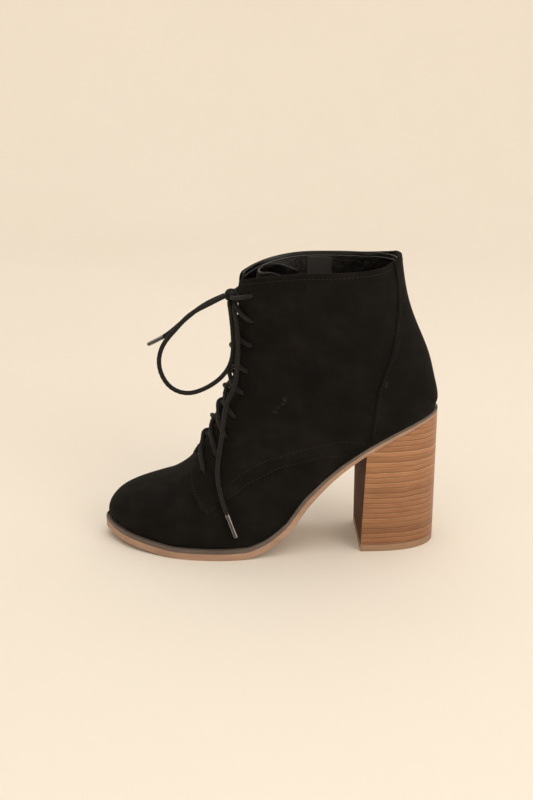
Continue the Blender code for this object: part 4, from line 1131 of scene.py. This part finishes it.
def make_quarters():
    """Two quarters with their punched facings, lapped over the vamp."""
    for name, side in (("quarter_outer", 1), ("quarter_inner", -1)):
        sheet_piece(name, [quarter_grid(side)],
                    lambda s, t, side, base: QUARTER_LIFT + creases(base, side) + eyelet_relief(base, side),
                    level_lift(QUARTER_INSIDE), SUEDE, "suede", wear=scuff)


PANEL_LIFT = 2 * OVERLAY_STEP
# The panel's inner face lies over the quarter along its edge, and sinks behind the quarter's own edge
PANEL_OVER, PANEL_SINKS, PANEL_LAP = 0.8, 1.3, (0.03, 0.06)
PANEL_FROM = 0.637
# The panel's foot turns in round the heel: how far, between which heights over the welt, and along which x
COUNTER_TUCK, TUCK_HEIGHTS, TUCK_X = 1.4, (8.0, 0.5), (-88.0, -108.0)
# The fold above the heel seat: sections on each side that are evened out, shares that are, and passes
FOLD_REACH, FOLD_SHARES, FOLD_PASSES = 0.035, (0.93, 0.82), 80


def panel_lift(section, share, side, base):
    """The panel's thickness over the last; round the heel it turns in just above the welt."""
    low = ease(*TUCK_HEIGHTS, base[..., 2] - welt_top(base[..., 0]))
    return PANEL_LIFT - COUNTER_TUCK * low ** 1.5 * ease(*TUCK_X, base[..., 0])


def without_fold(points, section, share):
    """Evens out the fold where the sole's edge turns into the back line: rows near it go halfway to their
    neighbours' middle, again and again."""
    near = np.exp(-((section - HEEL_BACK_SECTION) / FOLD_REACH) ** 2) * ease(*FOLD_SHARES, share)
    for _ in range(FOLD_PASSES):
        points[1:-1] += 0.5 * near[1:-1, :, None] * ((points[:-2] + points[2:]) / 2 - points[1:-1])
    return points


def make_back_panel():
    """Back panel round the heel up to the collar, lapped over both quarters."""
    across = np.linspace(0, 1, 60)[None, :]
    low, high = np.linspace(PANEL_FROM, HEEL_BACK_SECTION, 60), np.linspace(0, 1, 90)[1:, None]
    halves = []
    for side in (1, -1):
        collar = below_collar(panel_edge(1.0) + (1 - panel_edge(1.0)) * across, side)
        section = np.concatenate((low[:, None] + 0 * across,
                                  HEEL_BACK_SECTION + (collar - HEEL_BACK_SECTION) * high))
        edge = panel_edge(section)
        halves.append((section, edge + (1 - edge) * across, side))
    sheet_piece("back_panel", halves, panel_lift,
                lambda s, t, side, base: PANEL_OVER - PANEL_SINKS * ease(*PANEL_LAP, t - panel_edge(s)),
                SUEDE, "suede", soften=without_fold)


LINING_FROM = 0.41
LINING_OUTSIDE = -0.6


# The lining's edge on each side: millimetres under the suede's in front, how many more at the back, and the
# shares over which they come in
LINING_DROP = {1: (0.7, 1.4, 0.62, 0.80), -1: (-0.1, 2.2, 0.74, 0.94)}


def lining_drop(share, side):
    """How far the lining's edge stays under the suede's; on the zip side it comes up a little."""
    front, more, start, stop = LINING_DROP[side]
    return front + more * ease(start, stop, share)


def make_lining():
    """Glossy lining inside the quarters and the back, from the instep to the collar."""
    across = np.linspace(0, 1, 60)[None, :]
    halves = []
    for side in (1, -1):
        collar = share_at_width(1.0, facing_half(1.0), side)
        collar = collar + (1 - collar) * across
        highest = below_collar(collar, side, lining_drop(collar, side))
        section = LINING_FROM + (highest - LINING_FROM) * np.linspace(0, 1, 110)[:, None]
        top = share_at_width(section, facing_half(section) + 0.2, side)
        halves.append((section, top + (1 - top) * across, side))
    sheet_piece("upper_lining", halves, level_lift(LINING_OUTSIDE), level_lift(-WALL), LINING, "lining",
                bulge=1.0)


# Beads of the lining's folded edge: millimetres under its edge, radius and lift
FOLD_BEADS = ((0.1, 0.5, -1.3), (2.5, 0.35, -WALL))


def make_collar_fold():
    """Folded edge of the lining inside the collar: a shiny bead under the rim and the fold's lower edge, in a
    lighter colour that is painted highlight.
    """
    share = np.linspace(0.09, 1, 200)
    parts = []
    for down, radius, lift in FOLD_BEADS:
        halves = [raised(below_collar(share, side, down + lining_drop(share, side)), share, side, lift)
                  for side in (1, -1)]
        way = np.concatenate((halves[0], halves[1][-2::-1]))
        parts.append(tube(way, radius, sides=10, reference=(0, 0.1, 1)))
    piece("collar_fold", *joined(parts), FOLD, "lining", replaced=("upper",))


TONGUE_FROM, TONGUE_TO, TONGUE_PEAK = 0.355, 0.985, 1.042
TONGUE_TOP_WIDER = 0.13
# How far the suede face stays back from the lining's edge, in sections
TONGUE_EDGE = 0.007


def tongue_top(lane):
    """Section of the tongue's rounded top edge, from its middle (0) to its sides (1)."""
    return TONGUE_PEAK - 0.1 * (np.sqrt(lane ** 2 + 0.03) - 0.173)


def make_tongue():
    """Tongue that leans back from the facings towards its rounded top: suede in front, a shiny lining behind
    that rolls over its edge."""
    def depth(extra):
        return lambda s, t, side, base: -(WALL + TONGUE_CLEARANCE + extra + TONGUE_LEAN
                                          * np.clip((s - TONGUE_FROM) / (TONGUE_TO - TONGUE_FROM), 0, 1) ** 4)
    for name, out, inn, material, slot, size in (
            ("tongue_face", 0.0, 1.1, SUEDE, "suede", TONGUE_EDGE),
            ("tongue_lining", 1.0, TONGUE_THICK, LINING, "lining", 0.0)):
        lane = np.linspace(0, 1 - 4 * size, 34)[None, :]
        section = TONGUE_FROM + (tongue_top(lane) - size - TONGUE_FROM) * np.linspace(0, 1, 130)[:, None]
        part = (section - TONGUE_FROM) / (TONGUE_TO - TONGUE_FROM)
        wider = TONGUE_TOP_WIDER * ease(0.6, 1.0, part)
        share = lane * (TONGUE_HALF_BOTTOM + (TONGUE_HALF_TOP - TONGUE_HALF_BOTTOM) * part + wider)
        sheet_piece(name, [(section, share, side) for side in (1, -1)], depth(out), depth(inn), material,
                    slot, "tongue", bulge=0.9)


# Sole and heel


def sole_plate(name, low, high, outset, material, slot, node, stations, bulge, squareness=0.3, steps=7,
               lean=None):
    """A layer of the sole: heights low and high at x, outset past the upper's edge, with softened edges."""
    lane = np.linspace(0, 1, 26)
    left, right = (np.stack(outline(stations, side, outset(stations)), axis=-1) for side in (1, -1))
    sheet = (left[:, None, :] + (right - left)[:, None, :] * lane[None, :, None]).reshape(-1, 2)
    upper, lower = (lean(sheet, rise) if lean else sheet for rise in (1.0, 0.0))
    top = np.column_stack((upper, high(upper[:, 0])))
    bottom = np.column_stack((lower, low(lower[:, 0])))
    points, faces = thick_sheet(top, bottom, grid_quads(len(stations), lane.size), squareness, bulge, steps)
    return piece(name, points, [faces], material, slot, replaced=(node,), sharp_deg=60)


def paint_faces(made, material, chosen):
    """Gives the faces that chosen(centres, normals) picks a second material."""
    mesh = made.data
    mesh.materials.append(material)
    arrays = [np.zeros(3 * len(mesh.polygons), np.float32) for _ in range(2)]
    for array, key in zip(arrays, ("center", "normal")):
        mesh.polygons.foreach_get(key, array)
    centres, normals = (array.reshape(-1, 3) for array in arrays)
    mesh.polygons.foreach_set("material_index", chosen(centres, normals).astype(np.int32))


ALL_ALONG = np.linspace(0.004, 0.996, 260)
# The tread is the outsole's underside up to this height in metres, in front of the arch
TREAD_UP_TO = 0.009
FACES_DOWN = -0.8
FACES_FORWARD = 0.6
SOFT_EDGE = 0.35


def ledge(inset):
    """How far a layer's edge lies past the upper: the sole's ledge less an inset for its soft edge."""
    return lambda stations: sole_value("ledge", stations) - inset


def make_sole():
    """Outsole, welt and insole, one on the other."""
    body = sole_plate("outsole_body", ground, outsole_top, ledge(SOFT_EDGE), OUTSOLE, "outsole", "outsole",
                      ALL_ALONG, 0.14)
    paint_faces(body, TREAD, lambda at, facing: (facing[:, 2] < FACES_DOWN) & (at[:, 2] < TREAD_UP_TO))
    sole_plate("welt_strip", lambda x: outsole_top(x) + FIT_GAP * 0.2, welt_top, ledge(0.3), WELT, "welt",
               "welt", ALL_ALONG, 0.25)
    sole_plate("insole_sock", lambda x: welt_top(x) + SEAT_GAP,
               lambda x: welt_top(x) + SEAT_GAP + INSOLE_THICK,
               lambda stations: -overlay_inset(station_x(stations)) - WALL - INSOLE_CLEARANCE - 0.2,
               SOCK, "lining", "insole", ALL_ALONG, 0.2)


HEEL_HALF = 26.0
LEAN_INNER, LEAN_OUTER = 1.4, 2.7


def heel_lean(sheet, rise):
    """The breast leans: its outer edge runs back towards the sole, its inner edge stands a little forward."""
    front = np.clip((sheet[:, 0] - HEEL_X) / (HEEL_BREAST_X - HEEL_X), 0, 1)
    outer = np.clip((sheet[:, 1] + HEEL_HALF) / (2 * HEEL_HALF), 0, 1)
    forward = front * ((1 - outer) * LEAN_INNER - outer * LEAN_OUTER * rise)
    return sheet + np.stack((forward, 0 * front), axis=-1)


def make_heel():
    """Stacked block heel with its dark breast, and the top lift under it."""
    stations = np.linspace(float(station_at(HEEL_BREAST_X)), ALL_ALONG[-1], 120)
    edge = ledge(HEEL_INSET + SOFT_EDGE)
    block = sole_plate("heel_stack", lambda x: np.full_like(x, TOP_LIFT_THICK + 0.06),
                       lambda x: ground(x) - 0.05, edge, HEEL, "heel_stack", "heel_block", stations, 0.01,
                       0.12, 15, heel_lean)
    # Painted shade: faces turned forward get the breast's darker brown
    paint_faces(block, BREAST, lambda at, facing: facing[:, 0] > FACES_FORWARD)
    tip = sole_plate("heel_tip", np.zeros_like, lambda x: np.full_like(x, TOP_LIFT_THICK), edge,
                     TOP_LIFT, "top_lift", "heel_top_lift", stations, 0.14,
                     lean=lambda sheet, rise: heel_lean(sheet, 0.0))
    paint_faces(tip, TREAD, lambda at, facing: facing[:, 2] < FACES_DOWN)


# Zip on the inner side


def rounded_block(half, centre, power=0.3, count=28, pinch=0.0):
    """Box with rounded edges: a ball whose sines and cosines are raised to a small power; pinch narrows its
    foot."""
    u = np.linspace(0, 2 * math.pi, count, endpoint=False)[None, :]
    v = np.linspace(-math.pi / 2, math.pi / 2, count // 2 + 2)[1:-1, None]
    cos_u, sin_u, cos_v, sin_v = (np.sign(wave) * np.abs(wave) ** power
                                  for wave in (np.cos(u), np.sin(u), np.cos(v), np.sin(v)))
    grid = np.stack((cos_v * cos_u, cos_v * sin_u, sin_v + 0 * u), axis=-1)
    grid[..., 0] *= 1 - pinch * (1 - grid[..., 2]) / 2
    return np.asarray(centre) + grid.reshape(-1, 3) * np.asarray(half), ring_faces(len(v), count)


def wall_strip(name, lanes, heights, lifts, rim, material, slot, node):
    """A strip on the inner side's wall between two lifts, with a rim of that squareness and bulge."""
    x, z = np.meshgrid(lanes, heights)
    outer, inner = (wall_at(x, z, -1, lift).reshape(-1, 3) for lift in lifts)
    points, faces = thick_sheet(outer, inner, grid_quads(*x.shape), *rim)
    piece(name, points, [faces], material, slot, replaced=(node,))


ZIP_WIDTH = 6.0
ZIP_SEAT = OVERLAY_STEP + FIT_GAP
TAPE_HALF_THICK, COIL_LIFT = 0.6, 0.75
TOOTH_PITCH, TOOTH_HALF, TOOTH_RADIUS, TOOTH_SHIFT = 1.7, 1.45, 0.62, 0.35
SLIDER_HALF = (4.0, 1.3, 5.5)
EAR_HALF = (0.55, 2.0, 1.8)
PIN_REACH, PIN_RADIUS = 2.2, 0.7
# Pull tab: half width on the pin, its eye, the plate, and the raised rim with its middle below the pin
TAB_HALF_WIDTH, EYE_RADIUS = 2.5, 1.8
PLATE_HALF, PLATE_DOWN = (2.3, 0.32, 9.8), 9.9
RIM_HALF, RIM_DOWN, RIM_RADIUS = (1.9, 7.6), 11.8, 0.6
# Guard behind the zip inside the boot: from and to along x and z
GUARD_X, GUARD_Z = (-44.0, -27.0), (198.0, 112.0)
GUARD_LIFTS = (-WALL - 0.05, -WALL - 1.1)


def make_zip():
    """Zip tape down the inner quarter with its coil, the slider at the top and the pull tab on the slider's
    pin."""
    wall_strip("zip_tape", ZIP_X + np.linspace(-0.5, 0.5, 15) * (ZIP_WIDTH - 0.4),
               np.linspace(ZIP_TOP_Z - 0.5, ZIP_BOTTOM_Z + 0.5, 120),
               (ZIP_SEAT + TAPE_HALF_THICK, ZIP_SEAT - TAPE_HALF_THICK), (0.5, 0.3), TAPE, "zip_tape", "zip")
    teeth = []
    for number, height in enumerate(np.arange(ZIP_BOTTOM_Z + 1.5, ZIP_TOP_Z - 0.5, TOOTH_PITCH)):
        shift = TOOTH_SHIFT * (-1) ** number
        bar = wall_at(ZIP_X + shift + np.linspace(-TOOTH_HALF, TOOTH_HALF, 6), np.full(6, height), -1,
                      ZIP_SEAT + COIL_LIFT)
        teeth.append(tube(bar, TOOTH_RADIUS, sides=10, reference=(0, 0.2, 1)))
    piece("zip_coil", *joined(teeth), COIL, "zip_tape", replaced=("zip",))
    middle_z = ZIP_TOP_Z + FIT_GAP + SLIDER_HALF[2]
    seat_y = float(wall_at(ZIP_X, middle_z + SLIDER_HALF[2], -1, ZIP_SEAT)[1])
    face_y = seat_y - 2 * SLIDER_HALF[1]
    pin = np.array((ZIP_X, face_y - PIN_REACH, middle_z))
    across = np.array((1.0, 0, 0))
    ear_x = TAB_HALF_WIDTH + FIT_GAP + EAR_HALF[0]
    parts = [rounded_block(SLIDER_HALF, (ZIP_X, seat_y - SLIDER_HALF[1], middle_z), pinch=0.25)]
    parts += [rounded_block(EAR_HALF, (ZIP_X + side * ear_x, face_y - 1.0, middle_z), count=16)
              for side in (1, -1)]
    parts.append(tube(pin + across * np.linspace(-ear_x, ear_x, 5)[:, None], PIN_RADIUS, reference=(0, 0, 1)))
    piece("zip_slider_body", *joined(parts), NICKEL, "zip_metal", replaced=("zip_slider",))
    eye = pin + across * np.linspace(-1, 1, 5)[:, None] * (TAB_HALF_WIDTH - 0.4)
    turn = np.linspace(0, 2 * math.pi, 90)
    rim_x, rim_z = (half * np.sign(wave) * np.abs(wave) ** 0.35
                    for half, wave in zip(RIM_HALF, (np.cos(turn), np.sin(turn))))
    tab = [rounded_block(PLATE_HALF, pin - (0, 0, PLATE_DOWN), power=0.35),
           tube(pin + np.stack((rim_x, 0 * turn, rim_z - RIM_DOWN), axis=1), RIM_RADIUS, sides=12,
                reference=(0, 1, 0), cap=1),
           tube(eye, EYE_RADIUS, sides=24, reference=(0, 0, 1), cap=1)]
    piece("zip_puller", *joined(tab), NICKEL, "zip_metal", body="pull_tab", replaced=("zip_pull_tab",))


def make_zip_guard():
    """Soft guard strip behind the zip inside the boot, matte."""
    wall_strip("zip_guard", np.linspace(*GUARD_X, 24), np.linspace(*GUARD_Z, 80), GUARD_LIFTS,
               (1.0, 0.8), GUARD, "lining", "upper")


# Stitching

STITCH_PITCH, STITCH_LENGTH, STITCH_RADIUS = 2.9, 2.15, 0.27
# A stitch is a run of rings of points
STITCH_RINGS, STITCH_SIDES = 7, 6


def seam_row(section, share, side, lift, inward=0.0):
    """A line on the wall and its outward directions, moved sideways in the wall by inward millimetres."""
    section, share = np.broadcast_arrays(np.asarray(section, float), np.asarray(share, float))
    low, high = raised(section, share, side, lift), raised(section, share, side, lift + 1.0)
    normal = unit(high - low)
    tangent = unit(np.gradient(low, axis=0))
    return low + np.cross(normal, tangent) * inward, normal


def stitch_line(points, normals, pitch=STITCH_PITCH, length=STITCH_LENGTH, radius=STITCH_RADIUS):
    """Arched stitches along a line: six-sided bars, thickest in their middle, that dip in at both ends."""
    run = run_along(points)
    count = int(run[-1] // pitch)
    share = np.linspace(0, 1, STITCH_RINGS)
    at = (np.arange(count)[:, None] + 0.5) * pitch + (share - 0.5)[None, :] * length
    place = np.stack([np.interp(at, run, points[:, axis]) for axis in range(3)], axis=-1)
    up = unit(np.stack([np.interp(at, run, normals[:, axis]) for axis in range(3)], axis=-1))
    along = unit(place[:, -1:] - place[:, :1])
    aside = unit(np.cross(up, along))
    swell = np.sin(math.pi * share)[None, :, None]
    middle = place + up * (radius * (1.1 * swell - 0.55))
    angle = np.linspace(0, 2 * math.pi, STITCH_SIDES, endpoint=False)
    size = (radius * (0.45 + 0.55 * swell))[..., None]
    rings = middle[:, :, None, :] + size * (np.cos(angle)[:, None] * aside[:, :, None, :]
                                           + np.sin(angle)[:, None] * up[:, :, None, :])
    start = (np.arange(count) * STITCH_RINGS * STITCH_SIDES)[:, None, None]
    quads, caps = (faces[None] + start for faces in ring_faces(STITCH_RINGS, STITCH_SIDES))
    return rings.reshape(-1, 3), [quads.reshape(-1, 4), caps.reshape(-1, STITCH_SIDES)]


BAR_TACK = ((0.375, 0.345), (0.381, 0.381), (0.389, 0.417))
SECOND_ROW = ((0.450, 0.357), (0.498, 0.391), (0.532, 0.453), (0.565, 0.537), (0.596, 0.645), (0.620, 0.731),
              (0.631, 0.870))
# Millimetres from a row of stitches to the edge beside it
EDGE_INSET, THROAT_INSET, PANEL_INSET, COLLAR_INSET, LINING_INSET = 1.7, 2.0, 1.6, 3.0, 3.4
# Slanting stitches on the back panel: sections from and to, and how far their ends lie from its edge
SLANT_RUNS, SLANT_ENDS = ((0.770, 0.786), (0.832, 0.868)), (2.2, 4.6)
# Sections or shares from which and up to which the rows run
LOWER_ROW_END, THROAT_ROW_END, PANEL_ROW = 0.615, 0.985, (0.645, 0.995)
COLLAR_ROW, BACK_ROW = (0.11, 0.84), (0.88, 1.0)
TACK_APART, TACK_INSET, TACK_SPACING = 0.9, 1.2, (1.5, 1.3)
ZIP_ROW_BESIDE, ZIP_ROW_Z, ZIP_FOOT_HALF, ZIP_FOOT_Z = 5.6, (198.0, 90.0), 5.2, 89.2


def table_line(rows, count=240):
    """Dense points of a line given by (section, share) places."""
    rows = np.asarray(rows, float)
    run = np.linspace(0, 1, len(rows))
    at = np.linspace(0, 1, count)
    return natural_spline(run, rows[:, 0], at), natural_spline(run, rows[:, 1], at)


def make_stitching():
    """Rows of stitches along the edges of the panels, as single lines of thread."""
    parts = []

    def sew(side, section, share, lift=QUARTER_LIFT, inset=0.0, spacing=()):
        parts.append(stitch_line(*seam_row(section, share, side, lift, inset * side), *spacing))

    collar, back = np.linspace(*COLLAR_ROW, 300), np.linspace(*BACK_ROW, 60)
    edge = np.linspace(*PANEL_ROW, 400)
    edge = edge[np.abs(edge - HEEL_BACK_SECTION) > 0.004]
    for side in (1, -1):
        section, share, _ = quarter_grid(side)
        lower, throat = section[:, -1] < LOWER_ROW_END, section[:, 0] < THROAT_ROW_END
        sew(side, section[:, -1][lower], share[:, -1][lower], inset=EDGE_INSET)
        sew(side, section[0], share[0], inset=EDGE_INSET)
        sew(side, section[:, 0][throat], share[:, 0][throat], inset=-THROAT_INSET)
        sew(side, *table_line(SECOND_ROW))
        sew(side, below_collar(collar, side, COLLAR_INSET), collar)
        inside, away = seam_row(below_collar(collar, side, LINING_INSET), collar, side, -WALL)
        parts.append(stitch_line(inside, -away))
        sew(side, edge, panel_edge(edge), PANEL_LIFT, -PANEL_INSET)
        for row in (-1.0, 0.0, 1.0):
            sew(side, *table_line(BAR_TACK, 40), inset=row * side * TACK_APART - TACK_INSET,
                spacing=TACK_SPACING)
        for ends in SLANT_RUNS:
            seam = np.linspace(*ends, 9)
            near_row, far_row = (seam_row(seam, panel_edge(seam), side, PANEL_LIFT, -out * side)
                                 for out in SLANT_ENDS)
            for one in range(len(seam) - 1):
                slant, up = (np.stack((near_row[k][one], far_row[k][one + 1])) for k in range(2))
                run = length_of(slant)
                parts.append(stitch_line(slant, up, run * 0.999, run * 0.9))
        if side < 0:
            for beside in (-ZIP_ROW_BESIDE, ZIP_ROW_BESIDE):
                sew(side, *wall_place(ZIP_X + beside, np.linspace(*ZIP_ROW_Z, 200), side))
            foot = np.linspace(-ZIP_FOOT_HALF, ZIP_FOOT_HALF, 30)
            sew(side, *wall_place(ZIP_X + foot, ZIP_FOOT_Z, side))
        sew(side, below_collar(back, side, COLLAR_INSET), back, PANEL_LIFT)
    piece("seam_stitching", *joined(parts), THREAD, "suede", replaced=("upper",))


# Studio

# The camera, from the photo's outline: focal length and picture height in pixels, place in metres
FOCAL_PIXELS, PICTURE_PIXELS = 1217, 800
CAMERA_AT, DEGREES_DOWN = (0.0018, 0.809, 0.374), 18.5
# Paper sweep in metres: level radius, radius of the turn up, and height of the wall
LEVEL_RADIUS, TURN_RADIUS, SWEEP_TOP = 1.1, 0.8, 1.9


def make_camera():
    """The photograph's view down on the outer side."""
    data = bpy.data.cameras.new("photo_view")
    data.sensor_fit = "VERTICAL"
    data.sensor_height = 36.0
    data.lens = FOCAL_PIXELS / PICTURE_PIXELS * data.sensor_height
    data.clip_start = 0.01
    camera = put("photo_view", data)
    camera.location = CAMERA_AT
    camera.rotation_euler = (math.radians(90 - DEGREES_DOWN), 0, math.radians(180))
    bpy.context.scene.camera = camera


def make_floor():
    """Paper sweep: level under the boot, then a quarter turn up to a wall all round, in metres."""
    turn = np.linspace(0, math.pi / 2, 24)
    reach = np.concatenate(((0.02,), LEVEL_RADIUS + TURN_RADIUS * np.sin(turn),
                            (LEVEL_RADIUS + TURN_RADIUS,)))[:, None]
    rise = np.concatenate(((0.0,), TURN_RADIUS * (1 - np.cos(turn)), (SWEEP_TOP,)))[:, None]
    angle = np.linspace(0, 2 * math.pi, 96, endpoint=False)[None, :]
    grid = np.stack((reach * np.cos(angle), reach * np.sin(angle), rise + 0 * angle), axis=-1).reshape(-1, 3)
    quads, caps = ring_faces(len(reach), angle.size)
    mesh = bpy.data.meshes.new("paper_sweep")
    mesh.from_pydata(grid.tolist(), [], quads[:, ::-1].tolist() + [caps[0, ::-1].tolist()])
    mesh.shade_smooth()
    mesh.materials.append(PAPER)
    floor = put("paper_sweep", mesh)


def area_light(name, place, aim, size, power, code):
    """Soft box: a square area light turned to look at a point."""
    data = bpy.data.lights.new(name, "AREA")
    data.size = size
    data.energy = power
    data.color = colour(code)[:3]
    lamp = put(name, data)
    lamp.location = place
    away = np.asarray(place, float) - np.asarray(aim, float)
    tilt, heading = math.acos(away[2] / np.linalg.norm(away)), math.atan2(away[1], away[0])
    lamp.rotation_euler = (tilt, 0, heading + math.pi / 2)


def make_light():
    """Soft daylight studio: a large box overhead, a weaker one on the heel side, and warm fill all round."""
    area_light("overhead_box", (-0.2, 0.25, 2.2), (0, -0.1, 0.0), 1.8, 8.2, "#fffaf4")
    area_light("heel_side_box", (-1.0, 1.1, 0.8), (0, 0, 0.1), 0.9, 6.5, "#fffaf4")
    world = bpy.data.worlds.new("studio_fill")
    world.use_nodes = True
    world.node_tree.nodes["Background"].inputs["Color"].default_value = colour("#fffdf8")
    world.node_tree.nodes["Background"].inputs["Strength"].default_value = 0.89
    bpy.context.scene.world = world
    bpy.context.scene.view_settings.view_transform = "Standard"


make_camera()
make_bow()
make_knot()
make_crossings()
make_vamp()
make_quarters()
make_back_panel()
make_lining()
make_collar_fold()
make_tongue()
make_sole()
make_heel()
make_zip()
make_zip_guard()
make_stitching()
make_floor()
make_light()
